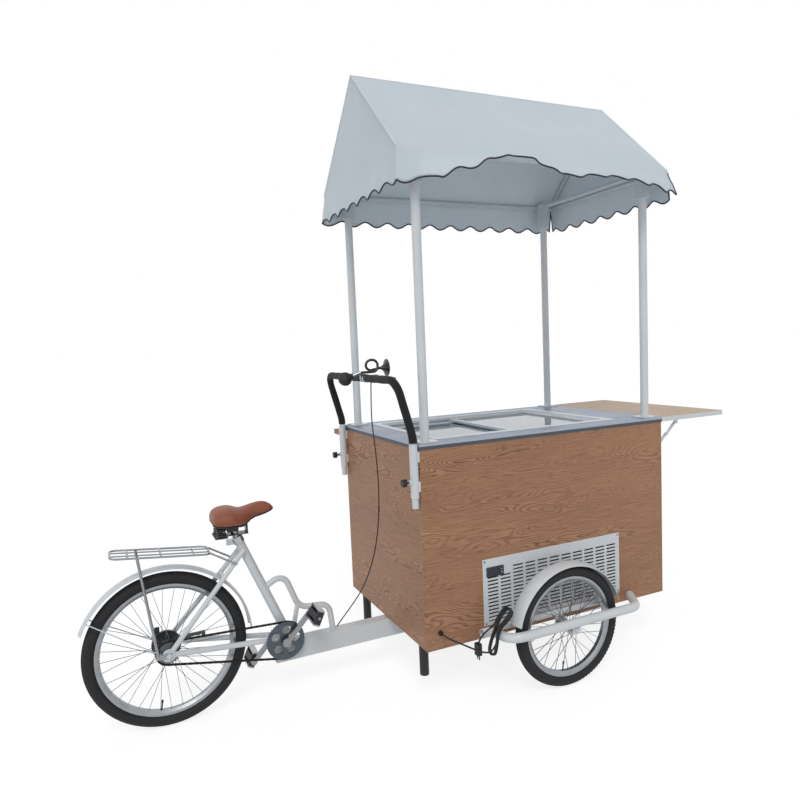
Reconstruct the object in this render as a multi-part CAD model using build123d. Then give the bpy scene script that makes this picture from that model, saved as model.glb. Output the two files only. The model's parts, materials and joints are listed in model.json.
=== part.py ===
from build123d import *
import os
from math import asin, atan2, cos, degrees, hypot, pi, radians, sin, sqrt, tan

os.makedirs("parts", exist_ok=True)

# Sizes in millimetres. X runs forward, Y to the left, Z up from the ground.
# The layout is measured from the rear face of the cabinet, at x = 0.
RUN_GAP = 0.3
SEAT_GAP = 0.2
BORE_SIDES = 12
WIRE_SIDES = 10
CORD_SIDES = 8
WELD_BITE = 1.0

# Cabinet box and its chassis
CAB_WIDTH = 820.0
CAB_BOTTOM = 236.0
CAB_TOP = 1058.0
PANEL = 15.0
DECK = 3.0
CHASSIS_TUBE = 40.0
CHASSIS_WALL = 3.0
CHASSIS_RISE = 4.0
FLOOR_PLATE = 1.5
TRIM_HEIGHT = 22.0
TRIM_THICK = 2.5

# Freezer tub, rails and sliding lids
TUB_REAR = 85.0
TUB_LENGTH = 970.0
TUB_FRONT = 185.0
TUB_MARGIN = 55.0
TUB_WIDTH = CAB_WIDTH - 2 * TUB_MARGIN
CAB_LENGTH = TUB_REAR + TUB_LENGTH + TUB_FRONT
TUB_WALL = 52.0
TUB_SKIN = 6.0
TUB_DEPTH = 468.0
TUB_BOTTOM = CAB_TOP - TUB_DEPTH
TUB_FLOOR = 10.0
DECK_LIP = 25.0
RAIL_DEPTH = 40.0
RAIL_FLANGE = 6.0
RAIL_RISE = 2.0
RAIL_SIDE = 34.0
RAIL_END = 30.0
LID_THICK = 10.0
LID_PLAY = 0.5
LID_GROOVE_LOW = 6.0
LID_GROOVE_HIGH = 18.0
LID_STEP = 13.0
LID_SHORT = 15.0
LID_LENGTH = TUB_LENGTH / 2 - LID_SHORT
LID_BORDER = 25.0
LID_HANDLE = 20.0
LID_GRIP = 120.0
LID_GRIP_RISE = 6.0
LID_GRIP_INSET = 2.0
GLASS_THICK = 4.0

# Cooling plant behind the grille
GRILLE_REAR = 262.0
GRILLE_LENGTH = 714.0
GRILLE_HEIGHT = 276.0
GRILLE_THICK = 2.0
GRILLE_FLANGE = 18.0
SLOT_COLUMNS = 11
SLOT_ROWS = 15
SLOT_LENGTH = 50.0
SLOT_HEIGHT = 6.5
SLOT_PITCH_X = 62.0
SLOT_PITCH_Z = 15.0
CONTROL_LENGTH = 77.0
CONTROL_HEIGHT = 35.0
CONTROL_DEPTH = 30.0
CONTROL_BEZEL = 4.0
CONTROL_RIM = 2.0
WINDOW_INSET = 18.0
WINDOW_RISE = 7.0
WINDOW_DEPTH = 1.5
LAMP_DIA = 5.0
LAMP_INSET = 9.0
BUTTON_PITCH = 13.0
BUTTON_BORE = 12.0
BUTTON_STEM = 8.0
SCREW_HEAD = 7.0
SCREW_RISE = 1.5
BUTTON_DIA = 6.0
BUTTON_RISE = 2.5
COMPRESSOR_DIA = 180.0
COMPRESSOR_HEIGHT = 190.0
COMPRESSOR_AHEAD = 200.0
COMPRESSOR_FOOT = 20.0
COMPRESSOR_BELT = 12.0
CONDENSER_LENGTH = 300.0
CONDENSER_HEIGHT = 230.0
CONDENSER_DEPTH = 40.0
CONDENSER_AHEAD = 88.0
CONDENSER_INSET = 40.0
CONDENSER_FOOT = 12.0
CONDENSER_ROWS = 7
CONDENSER_SLOT = 14.0
SHROUD_WALL = 6.0
SHROUD_DEPTH = 40.0
MOTOR_DIA = 46.0
MOTOR_BACK = 62.0
MOTOR_DEPTH = 26.0
MOTOR_SHAFT = 8.0
FAN_DIA = 190.0
FAN_HUB = 50.0
FAN_BLADES = 5
FAN_DEPTH = 20.0
FAN_PITCH = 28.0
BLADE_WIDTH = 46.0
BLADE_THICK = 2.5

# Wheels
REAR_TYRE_DIA = 607.0
FRONT_TYRE_DIA = 506.0
TYRE_WIDTH = 50.0
TYRE_HEIGHT = 50.0
REAR_BEAD_DIA = REAR_TYRE_DIA - 2 * TYRE_HEIGHT
FRONT_BEAD_DIA = FRONT_TYRE_DIA - 2 * TYRE_HEIGHT
RIM_WIDTH = 30.0
RIM_DEPTH = 14.0
RIM_LIP = 6.0
RIM_WALL = 2.6
SPOKES = 36
SPOKE_THICK = 1.7
AXLE_DIA = 10.0
FLANGE_DIA = 50.0
HUB_DIA = 28.0
HUB_NECK = 9.0
HUB_END = 11.0
FLANGE_WIDTH = 5.0
FRONT_FLANGE_OUT = 35.0
LEFT_FLANGE_OUT = 34.0
RIGHT_FLANGE_OUT = 28.0
COG_BODY_DIA = 48.0
COG_BODY_WIDTH = 10.0
SPOKE_LACE = 62.0
SPOKE_HEAD = 1.4
SPOKE_SPREAD = 2.4
SPOKE_CROSS = 1.2
SPOKE_BITE = 3.0
SPOKE_EDGE = 4.0
RIM_FLAT = 8.0
RIM_SHOULDER = 4.0
REAR_HUB_SPAN = 126.0
FRONT_HUB_SPAN = 100.0
FRONT_AXLE_X = 600.0
FRONT_WHEEL_OUT = 102.0
FRONT_WHEEL_Y = CAB_WIDTH / 2 + FRONT_WHEEL_OUT
WHEELBASE = 1522.0

# Drive
CHAIN_PITCH = 12.7
CHAIN_LINKS = 102
RING_TEETH = 38
COG_TEETH = 22
CHAIN_LINE = 45.0
BRACKET_HEIGHT = 250.0
CRANK_LENGTH = 160.0
CRANK_ANGLE = 46.0
CRANK_OUT = 62.0
CRANK_THICK = 14.0
CRANK_WIDTH = 20.0
CRANK_BOSS = 36.0
CRANK_EYE = 26.0
SPROCKET_THICK = 2.2
TOOTH_ROOT = 4.2
TOOTH_TIP = 2.8
TOOTH_FOOT = 2.2
TOOTH_END = 0.9
RING_COVER_OUT = 7.0
RING_COVER = 2.0
RING_COVER_RIM = 2.0
RING_BOSS_IN = 7.0
RING_WINDOWS = 5
RING_WINDOW = 36.0
RING_WINDOW_OUT = 45.0
LINK_HALF = 3.6
LINK_TIP = 3.4
LINK_PLATE = 0.9
LINK_INNER = 1.75
LINK_OUTER = 2.75
LINK_ROLLER = 4.6
SPINDLE_DIA = 17.0
BRACKET_DIA = 40.0
BRACKET_LENGTH = 68.0
PEDAL_LENGTH = 95.0
PEDAL_WIDTH = 65.0
PEDAL_THICK = 26.0
PEDAL_PIN = 12.0
PEDAL_TILT = 65.0
PEDAL_GAP = 4.0
PEDAL_PIN_END = 6.0
PEDAL_SLOT = 10.0
PEDAL_RIB = 12.0

# Rear frame
BEAM_WIDTH = 50.0
BEAM_HEIGHT = 80.0
BEAM_BOTTOM = 150.0
BEAM_WALL = 3.0
HEAD_DIA = 60.0
HEAD_BOTTOM = 142.0
KINGPIN_DIA = 30.0
KINGPIN_NUT = 14.0
SEAT_TUBE_DIA = 38.0
SEAT_TUBE_ANGLE = 67.6
SEAT_POST_DIA = 27.2
HOOP_DIA = 25.0
HOOP_START = 265.0
HOOP_REACH = 290.0
HOOP_RISE = 42.0
HOOP_RISE_X = 204.0
HOOP_DIP = 118.0
HOOP_DIP_X = 144.0
HOOP_RUN = 128.0
HOOP_RUN_X = 14.0
HOOP_TOP_ARC = 42.0
HOOP_DIP_ARC = 60.0
HOOP_FOOT_ARC = 48.0
STRUT_AHEAD = 38.0
BEAM_TAIL = 36.0
SEAT_AHEAD = 32.0
COLLAR_WALL = 4.5
COLLAR_HEIGHT = 20.0
COLLAR_DROP = 6.0
BOLT_BACK = 16.0
BOLT_LENGTH = 30.0
BOLT_HALF = 9.0
BOLT_HEIGHT = 22.0
BOLT_DROP = 19.0
STOP_HEIGHT = 9.0
STAY_DIA = 20.0
CHAIN_STAY_DIA = 22.0
DROPOUT = 5.0
DROPOUT_DIA = 50.0
REAR_NUT = 20.0
REAR_NUT_GAP = 4.0
REAR_NUT_THICK = 9.0
REAR_AXLE_END = 22.0
BRIDGE_DIA = 14.0
CHAIN_STAY_IN = 24.0
STAY_JOIN = 36.0
FENDER_THICK = 1.5
FENDER_SIDE_ROOM = 3.5
REAR_FENDER_ROOM = 26.5
REAR_FENDER_CROWN = 9.0
FENDER_STAY = 4.5
REAR_FENDER_RADIUS = REAR_TYRE_DIA / 2 + REAR_FENDER_ROOM
REAR_FENDER_HALF = TYRE_WIDTH / 2 + FENDER_SIDE_ROOM
SEAT_CLEAR = 50.5
SEAT_TUBE_TOP = REAR_TYRE_DIA / 2 + REAR_FENDER_RADIUS + SEAT_CLEAR
REAR_FENDER_TAIL = 157.5
REAR_FENDER_NOSE = 4.0
RACK_ROD = 8.0
RACK_REACH = 178.0
RACK_CLEAR = 30.5
RACK_RISE = 42.0
RACK_HALF = 60.0
RACK_CORNER = 24.0
RACK_BAR_IN = 60.0
RACK_WIRE_Y = 22.0
RACK_STRUT_Y = 44.0
RACK_LEG_IN = 92.0
RACK_LEG = 11.0
RACK_FOOT_BACK = 38.0
RACK_EYE = 9.0
RACK_EYE_THICK = 3.0
RACK_EYE_GAP = 0.4
BRAKE_DIA = 112.0
BRAKE_IN = 38.0
BRAKE_WIDTH = 12.0
BRAKE_SHELL = 3.0
BRAKE_NECK = 24.0
BRAKE_ARM = 150.0
BRAKE_ARM_RISE = 8.0
BRAKE_ARM_HEIGHT = 14.0
BRAKE_CABLE_ARM = 38.0

# Front carriers and fenders
GUARD_DIA = 38.0
GUARD_WALL = 3.0
GUARD_RISE = 31.0
GUARD_Z = FRONT_TYRE_DIA / 2 + GUARD_RISE
GRILLE_LIFT = 0.0
GRILLE_BOTTOM = GUARD_Z + GRILLE_LIFT
GUARD_OFF = 56.0
GUARD_OUT = FRONT_WHEEL_Y + GUARD_OFF
GUARD_DROP = 18.0
GUARD_FOOT = 46.0
GUARD_KNEE = 4.0
GUARD_REAR_ROOM = 44.0
GUARD_FRONT_ROOM = 57.0
GUARD_SWEEP = 99.0
GUARD_END_OUT = 14.0
GUARD_FOOT_ARC = 26.0
GUARD_REAR_ARC = 58.0
GUARD_FRONT_ARC = 75.0
RAIL_DIA = 25.0
RAIL_HALF = 300.0
RAIL_OFF = 23.0
RAIL_Y = CAB_WIDTH / 2 + RAIL_DIA / 2 + RAIL_OFF
RAIL_FOOT_IN = 40.0
RAIL_FOOT = 30.0
RAIL_FOOT_THICK = 11.0
LUG_WIDTH = 36.0
LUG_THICK = 5.0
LUG_GAP = 3.0
LUG_DROP = 16.0
AXLE_NUT = 21.0
AXLE_NUT_THICK = 10.0
AXLE_CONE = 17.0
AXLE_END = 4.0
FRONT_FENDER_ROOM = 15.0
FRONT_FENDER_SIDE = 12.0
FRONT_FENDER_CROWN = 11.0
FRONT_FENDER_OFF = 2.0
FRONT_FENDER_NOSE = 15.0
FRONT_FENDER_TAIL = 168.0
FRONT_STAY = 6.0
FRONT_STAY_ANGLE = 58.0
FRONT_FENDER_RADIUS = FRONT_TYRE_DIA / 2 + FRONT_FENDER_ROOM
FRONT_FENDER_HALF = TYRE_WIDTH / 2 + FRONT_FENDER_SIDE
POST_DIA = 38.0
POST_CORE = 28.0
POST_X = 32.0
POST_INSET = 100.0
POST_Y = CAB_WIDTH / 2 - POST_INSET
POST_BOTTOM = 97.0
POST_CAP = 4.0

# Push bar
BAR_DIA = 26.0
BAR_WALL = 2.0
BAR_INSET = 12.0
BAR_HALF = CAB_WIDTH / 2 - BAR_INSET
BAR_LEAN = 60.0
BAR_RISE = 249.0
BAR_TOP = CAB_TOP + BAR_RISE
BAR_DEPTH = 246.0
BAR_FOOT = CAB_TOP - BAR_DEPTH
BAR_BEND = 28.0
BAR_LEG_ARC = 150.0
BAR_CORNER_ARC = 60.0
SOCKET_DIA = 33.0
SOCKET_LENGTH = 207.0
SOCKET_BOTTOM = CAB_TOP - SOCKET_LENGTH
STRAP_HEIGHT = 40.0
STRAP_WIDTH = 24.0
STRAP_UP = 25.0
STRAP_DOWN = 45.0
BOSS_DIA = 16.0
BOSS_OUT = 8.0
SOCKET_OFF = SOCKET_DIA / 2 + TRIM_THICK + RUN_GAP
FOAM_DIA = 33.0
FOAM_RISE = 6.0
FOAM_HORN_GAP = 22.0
FOAM_LEVER_GAP = 14.0
KNOB_DROP = 143.0
KNOB_Z = CAB_TOP - KNOB_DROP
KNOB_DIA = 30.0
KNOB_GRIPS = 5
KNOB_SCREW = 8.0
KNOB_FROM = 22.0
KNOB_TO = 40.0
HORN_Y = -76.0
HORN_RISE = 11.0
HORN_PIPE = 11.0
HORN_BULB = 58.0
HORN_NECK = 18.0
BULB_BACK = 84.0
BULB_DROP = 23.0
NECK_BACK = 50.0
NECK_DROP = 12.0
REED_DIA = 14.0
REED_GAP = 0.7
REED_END = 18.0
HORN_BACK = 14.0
HORN_FRONT = 62.0
HORN_COIL = 50.0
HORN_MOUTH = 76.0
HORN_MOUTH_RISE = 14.0
HORN_ARC = 23.0
HORN_LAST_ARC = 20.0
CLAMP_WIDTH = 14.0
CLAMP_WALL = 4.5
PERCH_BACK = 22.0
PERCH_FRONT = 6.0
PERCH_FOOT = 10.0
LEVER_Y = -100.0
LEVER_BLOCK = 26.0
LEVER_AHEAD = 42.0
LEVER_COLLAR = 18.0
LEVER_THICK = 12.0
LEVER_PIN = 6.0
LEVER_PLAY = 0.5
# Bell of the horn: distance along its axis and radius.
HORN_BELL = ((0, 0), (0, 5.5), (10, 8), (20, 15), (27, 26), (31, 38), (33, 38), (33, 0))
# Outline of the lever blade from its pivot: ahead and aside.
LEVER_BLADE = (
    (8, 8),
    (11, -40),
    (19, -95),
    (19, -165),
    (12, -170),
    (9, -165),
    (9, -97),
    (2, -45),
    (-8, -12),
    (-8, 8),
)

# Canopy
POLE_DIA = 36.0
POLE_WALL = 3.0
POLE_INSET = 50.0
POLE_SIDE = 50.0
POLE_HALF = CAB_WIDTH / 2 - POLE_SIDE
FLANGE_PLATE = 80.0
FLANGE_THICK = 5.0
POLE_SHORT = 40.0
EAVE_RISE = 1102.0
RIDGE_RISE = 400.0
EAVE_Z = CAB_TOP + EAVE_RISE
RIDGE_Z = EAVE_Z + RIDGE_RISE
CANOPY_OVER = 45.0
CANOPY_SIDE = 5.0
CANOPY_HALF = CAB_WIDTH / 2 + CANOPY_SIDE
CLOTH = 2.0
CANOPY_TUBE = 22.0
CROSS_TUBE = 20.0
RAFTER_TUBE = 18.0
SLEEVE = 45.0
SLEEVE_HEIGHT = 120.0
SLEEVE_RISE = 12.0
VALANCE = 118.0
SCALLOP = 18.0
VALANCE_FLARE = 9.0
VALANCE_TUCK = 0.5
LONG_SCALLOPS = 13
END_SCALLOPS = 8
EAVE_LIP = 4.0
# Lean of the right valance, blown out in the middle: shares of the eave's length and degrees.
VALANCE_LIFT = (
    (0.00, 7),
    (0.06, 12),
    (0.11, 30),
    (0.17, 46),
    (0.26, 66),
    (0.30, 74),
    (0.38, 73),
    (0.45, 60),
    (0.53, 49),
    (0.67, 54),
    (0.77, 52),
    (0.86, 45),
    (0.96, 32),
    (1.00, 24),
)

# Front table and side shelf
TABLE_REACH = 394.0
TABLE_THICK = 22.0
TABLE_GAP = 6.0
HINGE_OUT = 12.0
HINGE_DROP = 12.0
HINGE_SIDE = 60.0
HINGE_Y = CAB_WIDTH / 2 - HINGE_SIDE
STAY_ARM = 110.0
STAY_WIDTH = 14.0
STAY_THICK = 4.0
HINGE_PIN = 8.0
SHELF_DEPTH = 174.0
SHELF_THICK = 24.0
SHELF_DROP = 38.0
SHELF_TOP = CAB_TOP - SHELF_DROP
HINGE_PLATE = 3.0
IRON_INSET = 160.0
IRON_WIDTH = 30.0
IRON_THICK = 4.0
IRON_LEG = 130.0
IRON_SHORT = 30.0
EYE_HALF = 6.0
EYE_WALL = 4.0
EYE_STRAP = 60.0
LUG_STRAP = 20.0
KNEE_GAP = 1.0
STAY_OUT = 22.0

# Cords
GLAND_X = 60.0
GLAND_Z = 303.0
GLAND_DIA = 14.0
GLAND_OUT = 12.0
GLAND_NUT = 9.0
GLAND_NUT_DIA = 20.0
CORD_START_OUT = 30.0
CORD_DIA = 7.0
CABLE_DIA = 5.0
HANK_TURNS = 3
HANK_HALF = 23.0
HANK_WAIST = 10.0
HANK_STEP = 8.6
HANK_OUT = 92.0
HANK_LOW_BACK = 42.0
HANK_LOW_DROP = 80.0
HANK_WAIST_BACK = 13.0
HANK_WAIST_RISE = 28.0
HANK_TOP_AHEAD = 46.0
HANK_TOP_RISE = 90.0
HANK_KNEE_BACK = 46.0
HANK_KNEE_DROP = 63.0
HANK_KNEE_OUT = 96.0
PLUG_LENGTH = 48.0
PLUG_WIDTH = 26.0
PLUG_THICK = 20.0
PLUG_PIN = 5.0
PLUG_PIN_LENGTH = 18.0
PLUG_PIN_HALF = 7.0
# Sag of the mains cord to the hank: share of the run, distance out from the board, share of the drop.
CORD_SAG = ((0.143, 46, 0.22), (0.374, 50, 0.51), (0.615, 58, 0.83), (0.813, 74, 1.05))
# Sag of the brake cable: share of the drop, and offsets forward and sideways from a straight line.
CABLE_SAG = (
    (0.073, 7, -11),
    (0.158, 20, -20),
    (0.248, 45, -27),
    (0.338, 68, -33),
    (0.428, 88, -38),
    (0.519, 102, -42),
    (0.609, 111, -43),
    (0.699, 112, -41),
    (0.784, 103, -34),
    (0.860, 82, -25),
    (0.922, 48, -14),
    (0.974, 15, -5),
)

# Saddle
SADDLE_LENGTH = 250.0
SADDLE_RISE = 147.0
SADDLE_TOP = SEAT_TUBE_TOP + SADDLE_RISE
SADDLE_REAR = 82.0
SADDLE_UNDER = 79.0
HEAD_RISE = 58.0
POST_END = 62.0
POST_IN = 150.0
POST_HEAD = 44.0
POST_HEAD_WIDTH = 40.0
POST_HEAD_HEIGHT = 20.0
SPRING_WIRE = 5.0
SPRING_HALF = 15.0
SPRING_PITCH = 10.0
SPRING_TURNS = 3
SPRING_SIDES = 6
SPRING_BACK = 50.0
SPRING_Y = 46.0
SPRING_SEAT = 4.0
SPRING_PLATE = 8.0
STRAP_THICK = 3.0
# Sections of the saddle: share of its length, half width, and top and bottom from the highest point.
SADDLE_SECTIONS = (
    (0.000, 40, -34, -60),
    (0.040, 72, -16, -71),
    (0.160, 94, -5, -75),
    (0.300, 94, -4, -76),
    (0.450, 72, -17, -81),
    (0.600, 44, -9, -67),
    (0.800, 30, 0, -53),
    (0.930, 23, -10, -45),
    (1.000, 10, -30, -38),
)

# Sizes worked out from those above
REAR_AXLE_X = FRONT_AXLE_X - WHEELBASE
REAR_AXLE_Z = REAR_TYRE_DIA / 2
FRONT_AXLE_Z = FRONT_TYRE_DIA / 2
RING_RADIUS = CHAIN_PITCH / (2 * sin(pi / RING_TEETH))
COG_RADIUS = CHAIN_PITCH / (2 * sin(pi / COG_TEETH))
TAIL_X = REAR_AXLE_X + REAR_FENDER_RADIUS * cos(radians(REAR_FENDER_TAIL))
TABLE_FRONT = CAB_LENGTH + TABLE_GAP + TABLE_REACH
CENTRE_X = (TAIL_X + TABLE_FRONT) / 2


def chain_reach():
    """Axle distance at which the tight chain loop holds a whole number of links."""
    wanted = CHAIN_LINKS * CHAIN_PITCH
    near = RING_RADIUS + COG_RADIUS
    far = wanted / 2
    for _ in range(60):
        middle = (near + far) / 2
        if loop_length(middle) < wanted:
            near = middle
        else:
            far = middle
    return near


def loop_length(reach):
    """Length of the chain round both sprockets for one axle distance."""
    lean = asin((RING_RADIUS - COG_RADIUS) / reach)
    straight = 2 * reach * cos(lean)
    return straight + RING_RADIUS * (pi + 2 * lean) + COG_RADIUS * (pi - 2 * lean)


AXLE_REACH = chain_reach()
BRACKET_DROP = REAR_AXLE_Z - BRACKET_HEIGHT
BRACKET_X = REAR_AXLE_X + sqrt(AXLE_REACH**2 - BRACKET_DROP**2)
DRIVE_TILT = -asin(BRACKET_DROP / AXLE_REACH)
BEAM_TOP = BEAM_BOTTOM + BEAM_HEIGHT


def block(x0, x1, y0, y1, z0, z1):
    """A box between two corners."""
    middle = Pos((x0 + x1) / 2, (y0 + y1) / 2, (z0 + z1) / 2)
    return middle * Box(x1 - x0, y1 - y0, z1 - z0)


def rod(start, end, diameter, bore=0.0):
    """A straight round bar or tube between two points."""
    axis = Vector(*end) - Vector(*start)
    section = Circle(diameter / 2)
    if bore:
        section -= Circle(bore / 2)
    return extrude(Plane(origin=start, z_dir=axis) * section, amount=axis.length)


def bent_tube(points, radii, diameter, bore=0.0):
    """A round tube along straight runs joined by tangent arcs."""
    path = FilletPolyline(*points, radius=radii)
    start = Plane(origin=path @ 0, z_dir=path % 0)
    section = Circle(diameter / 2)
    if bore:
        section -= RegularPolygon(bore / 2, BORE_SIDES, major_radius=False)
    return sweep(start * section, path=path)


def turned(outline, centre):
    """A solid of revolution about a line along Y; the outline is (y, radius) pairs."""
    face = make_face(Plane.YZ * Polyline(*outline, close=True))
    return Pos(*centre) * revolve(face, axis=Axis.Y)


def plate(outline, thick):
    """A flat plate of any outline, lying on the x-y plane."""
    return extrude(make_face(Polyline(*outline, close=True)), amount=thick, dir=(0, 0, 1))


def mirrored(shape):
    """The same piece on the other side of the centre plane."""
    return mirror(shape, about=Plane.XZ)


def save(name, *solids):
    """Write one named piece, with the whole object centred over the origin."""
    pieces = [Pos(-CENTRE_X, 0, 0) * solid for solid in solids]
    shape = pieces[0] if len(pieces) == 1 else Compound(pieces)
    export_step(shape, f"parts/{name}.step")


# The steel chassis: a folded channel ring, two cross members, the floor and the kingpin.
def chassis_frame():
    inset = PANEL + SEAT_GAP
    half = CAB_WIDTH / 2 - inset
    low = CAB_BOTTOM + CHASSIS_RISE
    high = low + CHASSIS_TUBE
    tube = CHASSIS_TUBE
    wall = CHASSIS_WALL
    x0 = inset
    x1 = CAB_LENGTH - inset
    frame = block(x0, x1, -half, half, low, high)
    frame -= block(x0 + tube, x1 - tube, -half + tube, half - tube, low, high)
    hollow = block(x0 + wall, x1 - wall, -half + wall, half - wall, low, high - wall)
    inner = tube - wall
    hollow -= block(x0 + inner, x1 - inner, -half + inner, half - inner, low, high - wall)
    frame -= hollow
    spread = 2 * tube
    for side in (-1, 1):
        middle = FRONT_AXLE_X + side * spread
        member = block(middle - tube / 2, middle + tube / 2, -half + tube, half - tube, low, high)
        trough = tube / 2 - wall
        member -= block(middle - trough, middle + trough, -half + tube, half - tube, low, high - wall)
        frame += member
    floor = block(x0, x1, -half, half, high, high + FLOOR_PLATE)
    plate = block(
        FRONT_AXLE_X - spread - tube / 2,
        FRONT_AXLE_X + spread + tube / 2,
        -spread,
        spread,
        CAB_BOTTOM,
        low,
    )
    nut_top = HEAD_BOTTOM - RUN_GAP
    nut_low = nut_top - KINGPIN_NUT
    pin = rod((FRONT_AXLE_X, 0, nut_low), (FRONT_AXLE_X, 0, low), KINGPIN_DIA)
    nut = Pos(FRONT_AXLE_X, 0, nut_low) * extrude(RegularPolygon(KINGPIN_DIA * 0.8, 6), KINGPIN_NUT)
    frame += [floor, plate, pin, nut]
    for side in (-1, 1):
        y = side * POST_Y
        frame += rod((POST_X, y, POST_BOTTOM + POST_CAP), (POST_X, y, high - FLOOR_PLATE), POST_CORE)
    return frame


# Two sleeves on the pegs that stop the rear frame at full lock.
def stop_sleeves():
    top = CAB_BOTTOM - 2 * RUN_GAP
    bore = POST_CORE + 2 * SEAT_GAP
    near = rod((POST_X, -POST_Y, POST_BOTTOM), (POST_X, -POST_Y, top), POST_DIA, bore)
    return [near, mirrored(near)]


# Four laminate boards; the right one has the opening for the cooling air.
def cabinet_panels():
    half = CAB_WIDTH / 2
    top = CAB_TOP - DECK
    right = block(0, CAB_LENGTH, -half, -half + PANEL, CAB_BOTTOM, top)
    right -= block(
        GRILLE_REAR + GRILLE_FLANGE,
        GRILLE_REAR + GRILLE_LENGTH - GRILLE_FLANGE,
        -half,
        -half + PANEL,
        GRILLE_BOTTOM + GRILLE_FLANGE,
        GRILLE_BOTTOM + GRILLE_HEIGHT - GRILLE_FLANGE,
    )
    right -= rod((GLAND_X, -half, GLAND_Z), (GLAND_X, -half + PANEL, GLAND_Z), GLAND_DIA)
    left = block(0, CAB_LENGTH, half - PANEL, half, CAB_BOTTOM, top)
    rear = block(0, PANEL, -half + PANEL, half - PANEL, CAB_BOTTOM, top)
    front = block(CAB_LENGTH - PANEL, CAB_LENGTH, -half + PANEL, half - PANEL, CAB_BOTTOM, top)
    return [right, left, rear, front]


# The steel work top with its freezer opening.
def top_deck():
    half = CAB_WIDTH / 2
    deck = block(0, CAB_LENGTH, -half, half, CAB_TOP - DECK, CAB_TOP)
    x0, x1, side = deck_opening()
    return deck - block(x0, x1, -side, side, CAB_TOP - DECK, CAB_TOP)


def deck_opening():
    """The freezer opening in the deck: two x limits and a half width."""
    x0 = TUB_REAR + DECK_LIP
    return x0, x0 + TUB_LENGTH - 2 * DECK_LIP, TUB_WIDTH / 2 - DECK_LIP


# The dark strip that caps the board edges under the deck.
def edge_trim():
    half = CAB_WIDTH / 2
    low = CAB_TOP - TRIM_HEIGHT
    edge = TRIM_THICK
    ring = block(-edge, CAB_LENGTH + edge, -half - edge, half + edge, low, CAB_TOP)
    return ring - block(0, CAB_LENGTH, -half, half, low, CAB_TOP)


# The freezer tub, two skins joined at the rim, open at the top and hung under the deck.
def liner_tub():
    half = TUB_WIDTH / 2
    top = CAB_TOP - DECK
    tub = block(TUB_REAR, TUB_REAR + TUB_LENGTH, -half, half, TUB_BOTTOM, top)
    x0, x1, side = deck_opening()
    wide = side + SEAT_GAP
    rebate = top - RAIL_DEPTH
    tub -= block(x0 - SEAT_GAP, x1 + SEAT_GAP, -wide, wide, rebate, top)
    inner = half - TUB_WALL
    floor = TUB_BOTTOM + TUB_FLOOR
    x0 = TUB_REAR
    x1 = TUB_REAR + TUB_LENGTH
    wall = TUB_WALL
    skin = TUB_SKIN
    outer = half - skin
    rim = rebate - 2 * skin
    pocket = block(x0 + skin, x1 - skin, -outer, outer, TUB_BOTTOM, rim)
    core = wall - skin
    pocket -= block(x0 + core, x1 - core, -inner - skin, inner + skin, TUB_BOTTOM, rim)
    tub -= pocket
    return tub - block(x0 + wall, x1 - wall, -inner, inner, floor, top)


def lid_levels():
    """Underside heights of the lower and the upper lid groove."""
    low = CAB_TOP - RAIL_DEPTH + LID_GROOVE_LOW
    return low, low + LID_STEP


# The plastic rail frame, with one groove above the other for the two lids.
def lid_rails():
    x0, x1, side = deck_opening()
    side -= RUN_GAP
    x0 += RUN_GAP
    x1 -= RUN_GAP
    top = CAB_TOP + RAIL_RISE
    rails = block(x0, x1, -side, side, CAB_TOP - RAIL_DEPTH, top)
    brim = RAIL_FLANGE
    rails += block(x0 - brim, x1 + brim, -side - brim, side + brim, CAB_TOP, top)
    clear = side - RAIL_SIDE
    rails -= block(x0 + RAIL_END, x1 - RAIL_END, -clear, clear, CAB_TOP - RAIL_DEPTH, top)
    low, high = lid_levels()
    groove = LID_THICK + 2 * LID_PLAY
    for level, deep in ((low, LID_GROOVE_LOW), (high, LID_GROOVE_HIGH)):
        wide = clear + deep
        rails -= block(x0 + RAIL_END, x1 - RAIL_END, -wide, wide, level, level + groove)
    return rails


def lid_spot(front):
    """Rear end, half width and underside of one lid."""
    x0, x1, side = deck_opening()
    clear = side - RUN_GAP - RAIL_SIDE
    low, high = lid_levels()
    if front:
        start = x1 - RUN_GAP - RAIL_END - LID_PLAY - LID_LENGTH
        return start, clear + LID_GROOVE_HIGH - LID_PLAY, high + LID_PLAY
    return x0 + RUN_GAP + RAIL_END + LID_PLAY, clear + LID_GROOVE_LOW - LID_PLAY, low + LID_PLAY


# One sliding lid: a plastic border with a finger bar at its outer end.
def lid_frame(front):
    x0, half, low = lid_spot(front)
    x1 = x0 + LID_LENGTH
    edge = LID_BORDER
    lid = block(x0, x1, -half, half, low, low + LID_THICK)
    lid -= block(x0 + edge, x1 - edge, -half + edge, half - edge, low, low + LID_THICK)
    grip = x1 - LID_HANDLE - LID_GRIP_INSET if front else x0 + LID_GRIP_INSET
    reach = LID_GRIP / 2
    top = low + LID_THICK
    lid += block(grip, grip + LID_HANDLE, -reach, reach, top, top + LID_GRIP_RISE)
    return lid


# The pane that fills the border of one lid.
def lid_glass(front):
    x0, half, low = lid_spot(front)
    edge = LID_BORDER + SEAT_GAP
    middle = low + LID_THICK / 2
    wide = half - edge
    return block(
        x0 + edge, x0 + LID_LENGTH - edge, -wide, wide, middle - GLASS_THICK / 2, middle + GLASS_THICK / 2
    )


def control_spot():
    """Rear end and underside of the controller in the grille."""
    x0 = GRILLE_REAR + GRILLE_FLANGE + 1
    z1 = GRILLE_BOTTOM + GRILLE_HEIGHT - 2 * GRILLE_FLANGE - 1
    return x0, z1 - CONTROL_HEIGHT


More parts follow.
